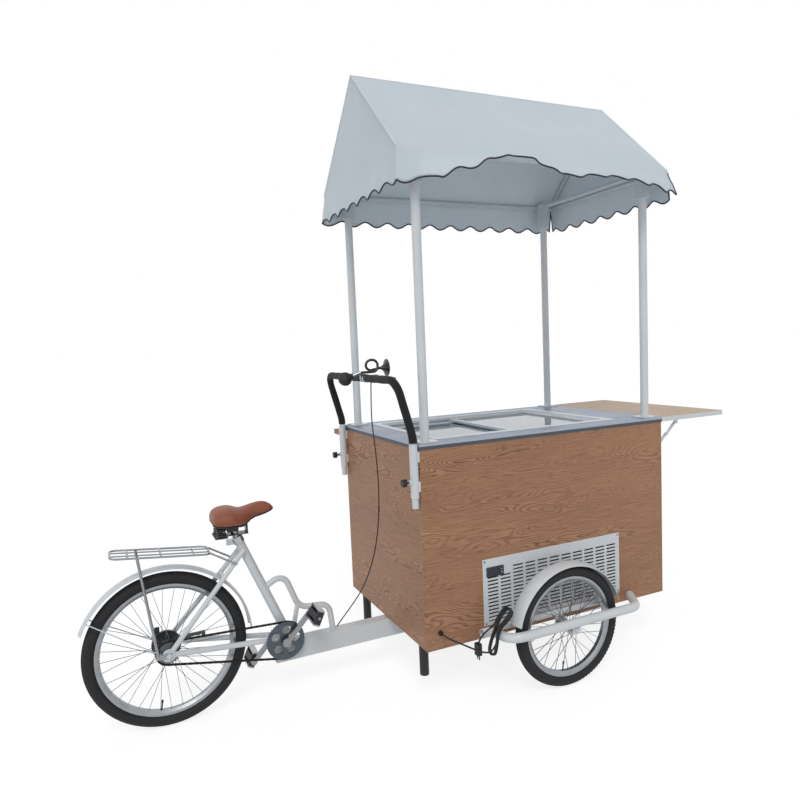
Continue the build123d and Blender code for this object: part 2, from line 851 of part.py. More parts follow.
# The punched vent sheet: rows of slots, a hole for the controller and corner screws.
def grille_plate():
    face = -CAB_WIDTH / 2
    out = face - GRILLE_THICK
    x0 = GRILLE_REAR
    z0 = GRILLE_BOTTOM
    plate = block(x0, x0 + GRILLE_LENGTH, out, face, z0, z0 + GRILLE_HEIGHT)
    cx, cz = control_spot()
    gap = SEAT_GAP
    plate -= block(cx - gap, cx + CONTROL_LENGTH + gap, out, face, cz - gap, cz + CONTROL_HEIGHT + gap)
    middle_x = x0 + GRILLE_LENGTH / 2
    middle_z = z0 + GRILLE_HEIGHT / 2 - SLOT_PITCH_Z
    slots = []
    for column in range(SLOT_COLUMNS):
        x = middle_x + (column - (SLOT_COLUMNS - 1) / 2) * SLOT_PITCH_X
        for row in range(SLOT_ROWS):
            z = middle_z + (row - (SLOT_ROWS - 1) / 2) * SLOT_PITCH_Z
            beside = x - SLOT_LENGTH / 2 > cx + CONTROL_LENGTH + 2
            below = z + SLOT_HEIGHT / 2 < cz - 2
            if beside or below:
                slots.append(Pos(x, (out + face) / 2, z) * Box(SLOT_LENGTH, GRILLE_THICK, SLOT_HEIGHT))
    plate -= slots
    for x in (x0 + GRILLE_FLANGE / 2, x0 + GRILLE_LENGTH - GRILLE_FLANGE / 2):
        for z in (z0 + GRILLE_FLANGE / 2, z0 + GRILLE_HEIGHT - GRILLE_FLANGE / 2):
            plate += rod((x, out - SCREW_RISE, z), (x, out, z), SCREW_HEAD)
    return plate


def button_spots():
    """The two button positions on the controller's face."""
    cx, cz = control_spot()
    x = cx + CONTROL_LENGTH - LAMP_INSET
    middle = cz + CONTROL_HEIGHT / 2
    return (x, middle + BUTTON_PITCH / 2), (x, middle - BUTTON_PITCH / 2)


# The thermostat: a case through the grille with a window and two lamp lenses.
def controller_case():
    cx, cz = control_spot()
    face = -CAB_WIDTH / 2 - GRILLE_THICK
    out = face - CONTROL_BEZEL
    x1 = cx + CONTROL_LENGTH
    z1 = cz + CONTROL_HEIGHT
    case = block(cx, x1, out, out + CONTROL_DEPTH, cz, z1)
    rim = CONTROL_RIM
    case += block(cx - rim, x1 + rim, out, face - SEAT_GAP / 2, cz - rim, z1 + rim)
    case -= block(
        cx + WINDOW_INSET,
        x1 - WINDOW_INSET - rim,
        out,
        out + WINDOW_DEPTH,
        cz + WINDOW_RISE,
        z1 - WINDOW_RISE,
    )
    for x, z in button_spots():
        case -= rod((x, out, z), (x, out + BUTTON_BORE, z), BUTTON_DIA + 2 * RUN_GAP)
        case += rod((cx + LAMP_INSET, out - WINDOW_DEPTH / 2, z), (cx + LAMP_INSET, out, z), LAMP_DIA)
    return case


# One push button of the controller.
def button(spot):
    x, z = spot
    out = -CAB_WIDTH / 2 - GRILLE_THICK - CONTROL_BEZEL
    return rod((x, out - BUTTON_RISE, z), (x, out + BUTTON_STEM, z), BUTTON_DIA)


def plant_floor():
    """Top of the floor that carries the cooling plant."""
    return CAB_BOTTOM + CHASSIS_RISE + CHASSIS_TUBE + FLOOR_PLATE


# The sealed compressor pot on its foot plate.
def compressor():
    low = plant_floor()
    foot = low + COMPRESSOR_FOOT
    top = low + COMPRESSOR_HEIGHT
    x = FRONT_AXLE_X + COMPRESSOR_AHEAD
    middle = low + COMPRESSOR_HEIGHT / 2
    pot = rod((x, 0, foot), (x, 0, top), COMPRESSOR_DIA)
    belt = COMPRESSOR_BELT
    pot += rod((x, 0, middle - belt), (x, 0, middle + belt), COMPRESSOR_DIA + belt)
    reach = COMPRESSOR_DIA / 2 + COMPRESSOR_FOOT
    side = COMPRESSOR_DIA * 0.4
    pot += block(x - reach, x + reach, -side, side, low, foot)
    wall = 2 * CHASSIS_WALL
    return pot - rod((x, 0, low), (x, 0, top - wall), COMPRESSOR_DIA - 2 * wall)


def fan_spot():
    """Centre of the fan: x, y of the shroud's face, and z."""
    x = GRILLE_REAR + CONDENSER_AHEAD + CONDENSER_LENGTH / 2
    y = -CAB_WIDTH / 2 + CONDENSER_INSET
    return x, y, plant_floor() + CONDENSER_FOOT + CONDENSER_HEIGHT / 2


# The condenser: a finned block with a shroud ring, motor and bracket behind it.
def condenser():
    x, y, z = fan_spot()
    half = CONDENSER_LENGTH / 2
    tall = CONDENSER_HEIGHT / 2
    back = y + CONDENSER_DEPTH
    motor_y = back + MOTOR_BACK
    end = motor_y + MOTOR_DEPTH
    core = block(x - half, x + half, y, back, z - tall, z + tall)
    foot = block(x - half, x + half, y, end, plant_floor(), z - tall)
    pitch = CONDENSER_HEIGHT / CONDENSER_ROWS
    for row in range(CONDENSER_ROWS):
        level = z - tall + (row + 2 / 3) * pitch
        core -= block(x - half, x + half, y, y + CONDENSER_DEPTH / 3, level - CONDENSER_SLOT, level)
    inside = FAN_DIA + 2 * SHROUD_WALL
    shroud = rod((x, back, z), (x, back + SHROUD_DEPTH, z), inside + 2 * SHROUD_WALL, inside)
    motor = rod((x, motor_y, z), (x, end, z), MOTOR_DIA)
    shaft = rod((x, back + SHROUD_WALL, z), (x, motor_y, z), MOTOR_SHAFT)
    post = MOTOR_DIA / 4
    bracket = block(x - post, x + post, motor_y + BLADE_THICK, end - BLADE_THICK, z - tall - 1, z)
    return core + [foot, shroud, motor, shaft, bracket]


# The fan rotor that turns on the motor shaft inside the shroud.
def fan_rotor():
    x, y, z = fan_spot()
    near = y + CONDENSER_DEPTH + 2 * SHROUD_WALL
    hub = rod((x, near, z), (x, near + FAN_DEPTH, z), FAN_HUB, MOTOR_SHAFT + 2 * RUN_GAP)
    root = FAN_HUB / 2 - BLADE_THICK
    tip = FAN_DIA / 2
    blade = Rot(0, 0, FAN_PITCH) * Box(BLADE_WIDTH, BLADE_THICK, tip - root)
    blade = Pos(x, near + FAN_DEPTH / 2, z + (root + tip) / 2) * blade
    blades = []
    for index in range(FAN_BLADES):
        turn = Pos(x, 0, z) * Rot(0, index * 360 / FAN_BLADES, 0) * Pos(-x, 0, -z)
        blades.append(turn * blade)
    hub += blades
    return hub - rod((x, near, z), (x, near + FAN_DEPTH, z), MOTOR_SHAFT + 2 * RUN_GAP)


# Four posts on foot flanges.
def canopy_poles():
    poles = []
    for x in (POLE_INSET, CAB_LENGTH - POLE_INSET):
        for y in (-POLE_HALF, POLE_HALF):
            foot = Pos(x, y, CAB_TOP + FLANGE_THICK / 2) * Box(FLANGE_PLATE, FLANGE_PLATE, FLANGE_THICK)
            tube = rod((x, y, CAB_TOP), (x, y, EAVE_Z - POLE_SHORT), POLE_DIA, POLE_DIA - 2 * POLE_WALL)
            poles.append(foot + tube)
    return poles


def cloth_drop(y):
    """Height of the cloth's outer face above a point at this y."""
    return RIDGE_Z - abs(y) * (RIDGE_Z - EAVE_Z) / CANOPY_HALF


def canopy_levels():
    """Half width and height of the eave rails, and the ridge tube's height."""
    slope = atan2(RIDGE_Z - EAVE_Z, CANOPY_HALF)
    drop = (CANOPY_TUBE / 2 + CLOTH + SEAT_GAP) / cos(slope)
    half = CANOPY_HALF - CLOTH - SEAT_GAP - CANOPY_TUBE / 2
    return half, cloth_drop(half) - drop, RIDGE_Z - drop


# The roof skeleton: sleeves on the posts, eave rails, rafters and the ridge tube.
def canopy_frame():
    half, eave, ridge = canopy_levels()
    tube = CANOPY_TUBE
    inset = CLOTH + SEAT_GAP + tube / 2
    x0 = -CANOPY_OVER + inset
    x1 = CAB_LENGTH + CANOPY_OVER - inset
    bars = []
    for x in (POLE_INSET, CAB_LENGTH - POLE_INSET):
        for y in (-POLE_HALF, POLE_HALF):
            top = eave + SLEEVE_RISE
            low = top - SLEEVE_HEIGHT
            sleeve = Pos(x, y, (low + top) / 2) * Box(SLEEVE, SLEEVE, SLEEVE_HEIGHT)
            sleeve -= rod((x, y, low), (x, y, EAVE_Z - POLE_SHORT + SEAT_GAP), POLE_DIA + 2 * SEAT_GAP)
            bars.append(sleeve)
        bars.append(rod((x, -half, eave), (x, half, eave), CROSS_TUBE))
    for y in (-half, half):
        bars.append(rod((x0 - tube / 2, y, eave), (x1 + tube / 2, y, eave), tube))
    for x in (x0, x1):
        bars.append(rod((x, -half, eave), (x, half, eave), CROSS_TUBE))
        bars.append(rod((x, -half, eave), (x, 0, ridge), RAFTER_TUBE))
        bars.append(rod((x, half, eave), (x, 0, ridge), RAFTER_TUBE))
    ridge_bar = rod((x0 - tube / 2, 0, ridge), (x1 + tube / 2, 0, ridge), tube)
    for bar in bars:
        ridge_bar += bar
    return ridge_bar


def scalloped(length, count):
    """A valance strip: straight top edge, arcs along the lower edge."""
    step = length / count
    low = -VALANCE
    edges = [Line((0, low), (0, 0)), Line((0, 0), (length, 0)), Line((length, 0), (length, low))]
    for index in range(count):
        a = index * step
        edges.append(ThreePointArc((a, low), (a + step / 2, low - SCALLOP), (a + step, low)))
    return make_face(edges)


def valance_lean(share):
    """Lean of the right valance at a share of the eave's length, in radians."""
    for (a, low), (b, high) in zip(VALANCE_LIFT, VALANCE_LIFT[1:]):
        if share <= b:
            part = (share - a) / (b - a)
            return radians(low + (high - low) * part * part * (3 - 2 * part))
    return radians(VALANCE_LIFT[-1][1])


def lifted_valance(x0, x1):
    """The right valance: a scalloped strip whose lean changes along the eave."""
    count = 4 * LONG_SCALLOPS
    sections = []
    for index in range(count + 1):
        share = index / count
        lean = valance_lean(share)
        depth = VALANCE + SCALLOP * abs(sin(pi * LONG_SCALLOPS * share))
        root = (-CANOPY_HALF + VALANCE_TUCK, EAVE_Z - VALANCE_TUCK)
        hem = (root[0] - depth * sin(lean), root[1] - depth * cos(lean))
        inward = (CLOTH * cos(lean), -CLOTH * sin(lean))
        inner_hem = (hem[0] + inward[0], hem[1] + inward[1])
        inner_root = (root[0] + inward[0], root[1] + inward[1])
        corners = [root, hem, inner_hem, inner_root]
        face = make_face(Plane.YZ * Polyline(*corners, close=True))
        sections.append(Pos(x0 + (x1 - x0) * share, 0, 0) * face)
    return loft(sections, ruled=True)


# The cloth roof: two slopes, two gables and a scalloped valance on all four sides.
def canopy_cloth():
    x0 = -CANOPY_OVER
    x1 = CAB_LENGTH + CANOPY_OVER
    half = CANOPY_HALF
    slope = atan2(RIDGE_Z - EAVE_Z, half)
    inner = RIDGE_Z - CLOTH / cos(slope)
    side = half - CLOTH
    eave = inner - side * tan(slope)
    low = EAVE_Z - EAVE_LIP
    outline = [(-half, low), (-half, EAVE_Z), (0, RIDGE_Z), (half, EAVE_Z), (half, low)]
    hollow = [(-side, low), (-side, eave), (0, inner), (side, eave), (side, low)]
    roof = Pos(x0, 0, 0) * (Plane.YZ * plate(outline, x1 - x0))
    roof -= Pos(x0 + CLOTH, 0, 0) * (Plane.YZ * plate(hollow, x1 - x0 - 2 * CLOTH))
    long_strip = Plane.XZ * extrude(scalloped(x1 - x0, LONG_SCALLOPS), amount=CLOTH, dir=(0, 0, 1))
    end_strip = Plane.YZ * extrude(scalloped(2 * half, END_SCALLOPS), amount=CLOTH, dir=(0, 0, 1))
    still = Pos(x0, -half + CLOTH, EAVE_Z) * Rot(-VALANCE_FLARE, 0, 0) * long_strip
    roof += [lifted_valance(x0, x1), mirrored(still)]
    roof += [Pos(x0, -half, EAVE_Z) * end_strip, Pos(x1 - CLOTH, -half, EAVE_Z) * end_strip]
    return roof


# Two sockets strapped to the rear board that hold the push bar's legs.
def bar_sockets():
    x = -SOCKET_OFF
    y = -BAR_HALF
    top = CAB_TOP - WELD_BITE
    tube = rod((x, y, SOCKET_BOTTOM), (x, y, top), SOCKET_DIA, BAR_DIA + 2 * RUN_GAP)
    half = STRAP_WIDTH / 2
    for low in (SOCKET_BOTTOM + STRAP_UP, CAB_TOP - TRIM_HEIGHT - STRAP_DOWN):
        high = low + STRAP_HEIGHT
        strap = block(x, 0, y - half, y + half, low, high)
        tube += strap - rod((x, y, low), (x, y, high), SOCKET_DIA - WELD_BITE)
    boss_end = x - SOCKET_DIA / 2 - BOSS_OUT
    boss = rod((boss_end, y, KNOB_Z), (x - BAR_DIA / 2 - WELD_BITE, y, KNOB_Z), BOSS_DIA)
    tube += boss
    tube -= rod((x - SOCKET_DIA, y, KNOB_Z), (x - BAR_DIA / 2, y, KNOB_Z), KNOB_SCREW + 2 * RUN_GAP)
    tube -= rod((x, y, SOCKET_BOTTOM), (x, y, top), BAR_DIA + 2 * RUN_GAP)
    return [tube, mirrored(tube)]


# One clamp knob with its screw.
def knob(side):
    x = -SOCKET_OFF - BAR_DIA / 2 - RUN_GAP
    y = side * BAR_HALF
    head = rod((x - KNOB_TO, y, KNOB_Z), (x - KNOB_FROM, y, KNOB_Z), KNOB_DIA)
    radius = KNOB_DIA * 0.55
    for index in range(KNOB_GRIPS):
        angle = 2 * pi * index / KNOB_GRIPS
        gy = y + radius * cos(angle)
        gz = KNOB_Z + radius * sin(angle)
        head -= rod((x - KNOB_TO, gy, gz), (x - KNOB_FROM, gy, gz), KNOB_DIA * 0.37)
    return head + rod((x - KNOB_TO + SEAT_GAP, y, KNOB_Z), (x, y, KNOB_Z), KNOB_SCREW)


def bar_points(start):
    """Route of the push bar from a height on the left leg to the same on the right."""
    x = -SOCKET_OFF
    back = x - BAR_LEAN
    bend = CAB_TOP + BAR_BEND
    left = [(x, BAR_HALF, start), (x, BAR_HALF, bend), (back, BAR_HALF, BAR_TOP)]
    return left + [(px, -py, pz) for px, py, pz in reversed(left)]


# The push bar: one bent tube standing in the sockets.
def push_bar():
    arcs = [BAR_LEG_ARC, BAR_CORNER_ARC, BAR_CORNER_ARC, BAR_LEG_ARC]
    return bent_tube(bar_points(BAR_FOOT), arcs, BAR_DIA, BAR_DIA - 2 * BAR_WALL)


# Two foam grips on the push bar, with bare tube left for the clamps.
def bar_foam():
    route = bar_points(CAB_TOP + FOAM_RISE)
    back = -SOCKET_OFF - BAR_LEAN
    bore = BAR_DIA + 2 * SEAT_GAP
    left = route[:3] + [(back, HORN_Y + FOAM_HORN_GAP, BAR_TOP)]
    right = [(back, LEVER_Y - FOAM_LEVER_GAP, BAR_TOP)] + route[3:]
    left_grip = bent_tube(left, [BAR_LEG_ARC, BAR_CORNER_ARC], FOAM_DIA, bore)
    right_grip = bent_tube(right, [BAR_CORNER_ARC, BAR_LEG_ARC], FOAM_DIA, bore)
    return [left_grip, right_grip]


# The horn: a squeeze bulb and a trumpet with one coil and a bell.
def bulb_horn():
    bar_x = -SOCKET_OFF - BAR_LEAN
    y = HORN_Y
    z = BAR_TOP + BAR_DIA / 2 + HORN_RISE
    centre = (bar_x - BULB_BACK, y, z - BULB_DROP)
    bulb = Pos(*centre) * Sphere(HORN_BULB / 2)
    bulb += rod(centre, (bar_x - NECK_BACK, y, z - NECK_DROP), HORN_NECK)
    front = bar_x + HORN_FRONT
    back = front - HORN_COIL
    mouth = (bar_x + HORN_MOUTH, y + HORN_PIPE * 0.75, z + HORN_MOUTH_RISE)
    route = [
        (bar_x - HORN_BACK, y - HORN_PIPE * 0.55, z),
        (front, y - HORN_PIPE * 0.45, z),
        (front, y - HORN_PIPE * 0.2, z + HORN_COIL),
        (back, y + HORN_PIPE * 0.3, z + HORN_COIL),
        (back, y + HORN_PIPE * 0.55, z + HORN_PIPE * 0.25),
        mouth,
    ]
    trumpet = faceted_tube(route, [HORN_ARC, HORN_ARC, HORN_ARC, HORN_LAST_ARC], HORN_PIPE, BORE_SIDES)
    bell = revolve(make_face(Polyline(*HORN_BELL, close=True)), axis=Axis.X)
    trumpet += Pos(mouth[0] - 2 * WELD_BITE, mouth[1], mouth[2]) * bell
    return [bulb, trumpet]


# The bright clamps on the bar: the horn's reed tube and bracket, and the lever bracket.
def bar_clamps():
    bar_x = -SOCKET_OFF - BAR_LEAN
    z = BAR_TOP
    bore = BAR_DIA + 2 * SEAT_GAP
    reed_z = z + BAR_DIA / 2 + HORN_RISE
    wide = BAR_DIA + 2 * CLAMP_WALL
    edge = CLAMP_WIDTH / 2
    ring = rod((bar_x, HORN_Y - edge, z), (bar_x, HORN_Y + edge, z), wide, bore)
    pipe_y = HORN_Y - HORN_PIPE * 0.55
    neck = (bar_x - NECK_BACK + REED_GAP, HORN_Y, reed_z - NECK_DROP + REED_GAP / 2)
    reed = rod(neck, (bar_x - REED_END, pipe_y, reed_z - WELD_BITE), REED_DIA)
    perch_top = reed_z + 2 * WELD_BITE
    perch = block(
        bar_x - PERCH_BACK, bar_x - PERCH_FRONT, HORN_Y - edge, HORN_Y + WELD_BITE, z + PERCH_FOOT, perch_top
    )
    perch -= rod((bar_x, HORN_Y - wide, z), (bar_x, HORN_Y + wide, z), bore)
    pipe_end = (bar_x + HORN_FRONT, HORN_Y - HORN_PIPE * 0.45, reed_z)
    perch -= rod((bar_x - HORN_BACK, pipe_y, reed_z), pipe_end, HORN_PIPE + 2 * SEAT_GAP)
    px, py, pz = lever_pivot()
    side = LEVER_COLLAR / 2
    collar = rod((bar_x, LEVER_Y - side, z), (bar_x, LEVER_Y + side, z), wide, bore)
    half = LEVER_BLOCK / 2
    arm = block(bar_x + BAR_DIA / 2 + WELD_BITE, px + side, py - side, py + side, pz - half, pz + half)
    slot = LEVER_THICK / 2 + LEVER_PLAY
    wide_slot = block(px - half, px + LEVER_COLLAR, py - LEVER_BLOCK, py + LEVER_COLLAR, pz - slot, pz + slot)
    arm -= wide_slot
    arm += rod((px, py, pz - LEVER_THICK), (px, py, pz + LEVER_THICK), LEVER_PIN)
    return [ring + perch + reed, collar + arm]


def lever_pivot():
    """Pivot point of the brake lever."""
    return -SOCKET_OFF - BAR_LEAN + LEVER_AHEAD, LEVER_Y, BAR_TOP


# The brake lever blade.
def brake_lever():
    x, y, z = lever_pivot()
    lever = Pos(x, y, z - LEVER_THICK / 2) * plate(LEVER_BLADE, LEVER_THICK)
    return lever - rod((x, y, z - LEVER_THICK), (x, y, z + LEVER_THICK), LEVER_PIN + 2 * RUN_GAP)


def guard_rear():
    """Where the guard bar turns out behind the mudguard."""
    return FRONT_AXLE_X - FRONT_FENDER_RADIUS - GUARD_REAR_ROOM


# One front carrier: the bent guard bar, the inner rail, two axle lugs and the axle.
def carrier():
    half = CAB_WIDTH / 2
    foot = half + GUARD_DIA / 2 + RUN_GAP
    low = GUARD_Z - GUARD_DROP
    out = GUARD_OUT
    rear = guard_rear()
    front = FRONT_AXLE_X + FRONT_FENDER_RADIUS + GUARD_FRONT_ROOM
    route = [
        (rear - GUARD_KNEE - GUARD_FOOT, -foot, low),
        (rear - GUARD_KNEE, -foot, low),
        (rear, -out, GUARD_Z),
        (front, -out, GUARD_Z),
        (front + GUARD_SWEEP, -half - GUARD_END_OUT, low),
    ]
    arcs = [GUARD_FOOT_ARC, GUARD_REAR_ARC, GUARD_FRONT_ARC]
    bars = bent_tube(route, arcs, GUARD_DIA, GUARD_DIA - 2 * GUARD_WALL)
    rail_y = RAIL_Y
    rail_x0 = FRONT_AXLE_X - RAIL_HALF
    rail_x1 = FRONT_AXLE_X + RAIL_HALF
    bars += rod((rail_x0, -rail_y, GUARD_Z), (rail_x1, -rail_y, GUARD_Z), RAIL_DIA)
    foot_top = GUARD_Z - WELD_BITE
    wide = RAIL_FOOT / 2
    for x in (rail_x0 + RAIL_FOOT_IN, rail_x1 - RAIL_FOOT_IN):
        bars += block(x - wide, x + wide, -rail_y, -half - SEAT_GAP, foot_top - RAIL_FOOT_THICK, foot_top)
    inner = FRONT_WHEEL_Y - FRONT_HUB_SPAN / 2
    outer = FRONT_WHEEL_Y + FRONT_HUB_SPAN / 2
    low = FRONT_AXLE_Z - LUG_DROP
    far = LUG_GAP + LUG_THICK
    wide = LUG_WIDTH / 2
    for y0, y1 in ((-outer - far, -outer - LUG_GAP), (-inner + LUG_GAP, -inner + far)):
        bars += block(FRONT_AXLE_X - wide, FRONT_AXLE_X + wide, y0, y1, low, GUARD_Z)
    nut = -outer - far - AXLE_NUT_THICK
    stack = [
        (nut - AXLE_END, -inner + far + AXLE_END, AXLE_DIA),
        (nut, -outer - far, AXLE_NUT),
        (-outer - LUG_GAP, -outer - RUN_GAP, AXLE_CONE),
        (-inner + RUN_GAP, -inner + LUG_GAP, AXLE_CONE),
    ]
    for y0, y1, wide in stack:
        bars += rod((FRONT_AXLE_X, y0, FRONT_AXLE_Z), (FRONT_AXLE_X, y1, FRONT_AXLE_Z), wide)
    return bars


def fender_shell(radius, half, rise, first, last):
    """A curved mudguard strip about the Y axis between two angles from +X."""
    inner = radius - FENDER_THICK
    edges = [
        ThreePointArc((-half, radius - rise), (0, radius), (half, radius - rise)),
        Line((half, radius - rise), (half, inner - rise)),
        ThreePointArc((half, inner - rise), (0, inner), (-half, inner - rise)),
        Line((-half, inner - rise), (-half, radius - rise)),
    ]
    face = make_face(Plane.YZ * edges[0] + Plane.YZ * edges[1] + Plane.YZ * edges[2] + Plane.YZ * edges[3])
    shell = revolve(face, axis=Axis.Y, revolution_arc=last - first)
    return Rot(0, 90 - last, 0) * shell


# The two front mudguards, each with a pair of stays down to the inner rail.
def front_fenders():
    centre = (FRONT_AXLE_X, -FRONT_WHEEL_Y + FRONT_FENDER_OFF, FRONT_AXLE_Z)
    guard = Pos(*centre) * fender_shell(
        FRONT_FENDER_RADIUS, FRONT_FENDER_HALF, FRONT_FENDER_CROWN, FRONT_FENDER_NOSE, FRONT_FENDER_TAIL
    )
    edge_y = centre[1] + FRONT_FENDER_HALF - FRONT_STAY / 2
    edge_r = FRONT_FENDER_RADIUS - FRONT_FENDER_CROWN
    foot_z = GUARD_Z + RAIL_DIA / 2 + 5 * SEAT_GAP
    for angle in (90 - FRONT_STAY_ANGLE, 90 + FRONT_STAY_ANGLE):
        x = FRONT_AXLE_X + edge_r * cos(radians(angle))
        z = FRONT_AXLE_Z + edge_r * sin(radians(angle))
        guard += rod((x, -RAIL_Y, foot_z), (x, edge_y, z), FRONT_STAY)
    return [guard, mirrored(guard)]


# A tyre: a stepped ring that stands on the rim's seats.
def tyre(outside, bead, centre):
    half = TYRE_WIDTH / 2
    seat = RIM_WIDTH / 2 - RIM_WALL - SEAT_GAP
    low = bead / 2 + SEAT_GAP
    high = outside / 2
    deep = high - low
    outline = [
        (-seat, low),
        (seat, low),
        (seat, low + RIM_LIP + 1),
        (half * 0.8, low + RIM_LIP + 5),
        (half, low + deep * 0.5),
        (half * 0.9, low + deep * 0.78),
        (half * 0.55, low + deep * 0.95),
        (0, high),
        (-half * 0.55, low + deep * 0.95),
        (-half * 0.9, low + deep * 0.78),
        (-half, low + deep * 0.5),
        (-half * 0.8, low + RIM_LIP + 5),
        (-seat, low + RIM_LIP + 1),
    ]
    return turned(outline, centre)


def spoke_set(bead, right_flange, left_flange, centre):
    """Crossed spokes between the two hub flanges and the rim."""
    rim_r = bead / 2 - RIM_DEPTH + SPOKE_BITE
    hub_r = FLANGE_DIA / 2 - SPOKE_EDGE
    spokes = []
    for index in range(SPOKES):
        side = 1 if index % 2 else -1
        flange = left_flange if side > 0 else right_flange
        outward = 1 if index % 4 < 2 else -1
        angle = 2 * pi * index / SPOKES
        lead = angle + outward * radians(SPOKE_LACE)
        start_y = flange + SPOKE_HEAD * outward
        end_y = side * (SPOKE_SPREAD + SPOKE_CROSS * outward)
        a = (hub_r * cos(lead), start_y, hub_r * sin(lead))
        b = (rim_r * cos(angle), end_y, rim_r * sin(angle))
        axis = Vector(*b) - Vector(*a)
        plane = Plane(origin=a, z_dir=axis)
        spoke = extrude(plane * Rectangle(SPOKE_THICK, SPOKE_THICK), amount=axis.length)
        spokes.append(Pos(*centre) * spoke)
    return spokes


def rim_ring(bead, centre):
    """A box-section rim with two upstands beside the tyre."""
    half = RIM_WIDTH / 2
    seat = bead / 2
    outline = [
        (-half, seat + RIM_LIP),
        (-half + RIM_WALL, seat + RIM_LIP),
        (-half + RIM_WALL, seat),
        (half - RIM_WALL, seat),
        (half - RIM_WALL, seat + RIM_LIP),
        (half, seat + RIM_LIP),
        (half, seat - RIM_SHOULDER),
        (RIM_FLAT, seat - RIM_DEPTH),
        (-RIM_FLAT, seat - RIM_DEPTH),
        (-half, seat - RIM_SHOULDER),
    ]
    return turned(outline, centre)


# A front wheel: rim, spokes and hub.
def front_wheel(y):
    centre = (FRONT_AXLE_X, y, FRONT_AXLE_Z)
    bore = AXLE_DIA / 2 + RUN_GAP
    end = FRONT_HUB_SPAN / 2
    shell = HUB_DIA / 2
    flange = FLANGE_DIA / 2
    out = FRONT_FLANGE_OUT
    near = out - FLANGE_WIDTH
    outline = [
        (-end, bore),
        (end, bore),
        (end, HUB_END),
        (out, shell),
        (out, flange),
        (near, flange),
        (near, shell),
        (-near, shell),
        (-near, flange),
        (-out, flange),
        (-out, shell),
        (-end, HUB_END),
    ]
    hub = turned(outline, centre)
    middle = out - FLANGE_WIDTH / 2
    return hub + spoke_set(FRONT_BEAD_DIA, -middle, middle, centre) + rim_ring(FRONT_BEAD_DIA, centre)


def toothed(teeth, radius, thick, phase):
    """A sprocket plate about Y with narrow teeth that stand between chain rollers."""
    root = radius - TOOTH_ROOT
    tip = radius + TOOTH_TIP
    shape = ((-TOOTH_FOOT, root), (-TOOTH_END, tip), (TOOTH_END, tip), (TOOTH_FOOT, root))
    points = []
    for index in range(teeth):
        middle = phase + 2 * pi * (index + 0.5) / teeth
        for offset, reach in shape:
            angle = middle + offset / radius
            points.append((reach * cos(angle), reach * sin(angle)))
    return Rot(90, 0, 0) * (Pos(0, 0, -thick / 2) * plate(points, thick))


def chain_points():
    """Pitch points round the tight chain loop, in the x-z plane, and the two tooth phases."""
    lean = asin((RING_RADIUS - COG_RADIUS) / AXLE_REACH)
    straight = AXLE_REACH * cos(lean)
    ring_arc = RING_RADIUS * (pi + 2 * lean)
    cog_arc = COG_RADIUS * (pi - 2 * lean)
    step = (2 * straight + ring_arc + cog_arc) / CHAIN_LINKS
    points = []
    for index in range(CHAIN_LINKS):
        points.append(loop_point(index * step - ring_arc / 2 + step / 2, lean, straight, ring_arc, cog_arc))
    return points


def loop_point(s, lean, straight, ring_arc, cog_arc):
    """The point a distance s along the loop from the middle of the ring's wrap."""
    total = 2 * straight + ring_arc + cog_arc
    s = (s + ring_arc / 2) % total
    ring = (BRACKET_X, BRACKET_HEIGHT)
    cog = (REAR_AXLE_X, REAR_AXLE_Z)
    first = DRIVE_TILT - pi / 2 - lean
    last = DRIVE_TILT + pi / 2 + lean
    if s < ring_arc:
        angle = first + s / RING_RADIUS
        return ring[0] + RING_RADIUS * cos(angle), ring[1] + RING_RADIUS * sin(angle)
    s -= ring_arc
    if s < straight:
        return along(ring, RING_RADIUS, cog, COG_RADIUS, last, s / straight)
    s -= straight
    if s < cog_arc:
        angle = last + s / COG_RADIUS
        return cog[0] + COG_RADIUS * cos(angle), cog[1] + COG_RADIUS * sin(angle)
    s -= cog_arc
    return along(cog, COG_RADIUS, ring, RING_RADIUS, first, s / straight)


def along(one, one_radius, two, two_radius, angle, part):
    """A point on the straight run between two sprockets."""
    x0 = one[0] + one_radius * cos(angle)
    z0 = one[1] + one_radius * sin(angle)
    x1 = two[0] + two_radius * cos(angle)
    z1 = two[1] + two_radius * sin(angle)
    return x0 + (x1 - x0) * part, z0 + (z1 - z0) * part


def wrap_phase(centre, radius):
    """Angle of the chain roller nearest the middle of a sprocket's wrap."""
    x, z = centre
    outward = DRIVE_TILT if x == BRACKET_X else DRIVE_TILT + pi
    goal = (x + radius * cos(outward), z + radius * sin(outward))
    nearest = min(chain_points(), key=lambda p: hypot(p[0] - goal[0], p[1] - goal[1]))
    return atan2(nearest[1] - z, nearest[0] - x)


# The roller chain: inner and outer links by turns, with a roller at each pin.
def chain():
    points = chain_points()
    y = -CHAIN_LINE
    plates = []
    count = len(points)
    for index in range(count):
        a = points[index]
        b = points[(index + 1) % count]
        heading = Vector(b[0] - a[0], 0, b[1] - a[1])
        plane = Plane(origin=((a[0] + b[0]) / 2, y, (a[1] + b[1]) / 2), x_dir=heading, z_dir=(0, -1, 0))
        half = heading.length / 2
        tall = LINK_HALF
        tip = half + LINK_TIP
        outline = [(-tip, 0), (-half, tall), (half, tall), (tip, 0), (half, -tall), (-half, -tall)]
        cheek = plate(outline, LINK_PLATE)
        near = LINK_INNER if index % 2 else LINK_OUTER
        plates.append(plane * (Pos(0, 0, near) * cheek))
        plates.append(plane * (Pos(0, 0, -near - LINK_PLATE) * cheek))
        section = Rectangle(LINK_ROLLER, LINK_ROLLER, rotation=45)
        plates.append(plane * (Pos(-half, 0, -LINK_INNER) * extrude(section, amount=2 * LINK_INNER)))
    return plates


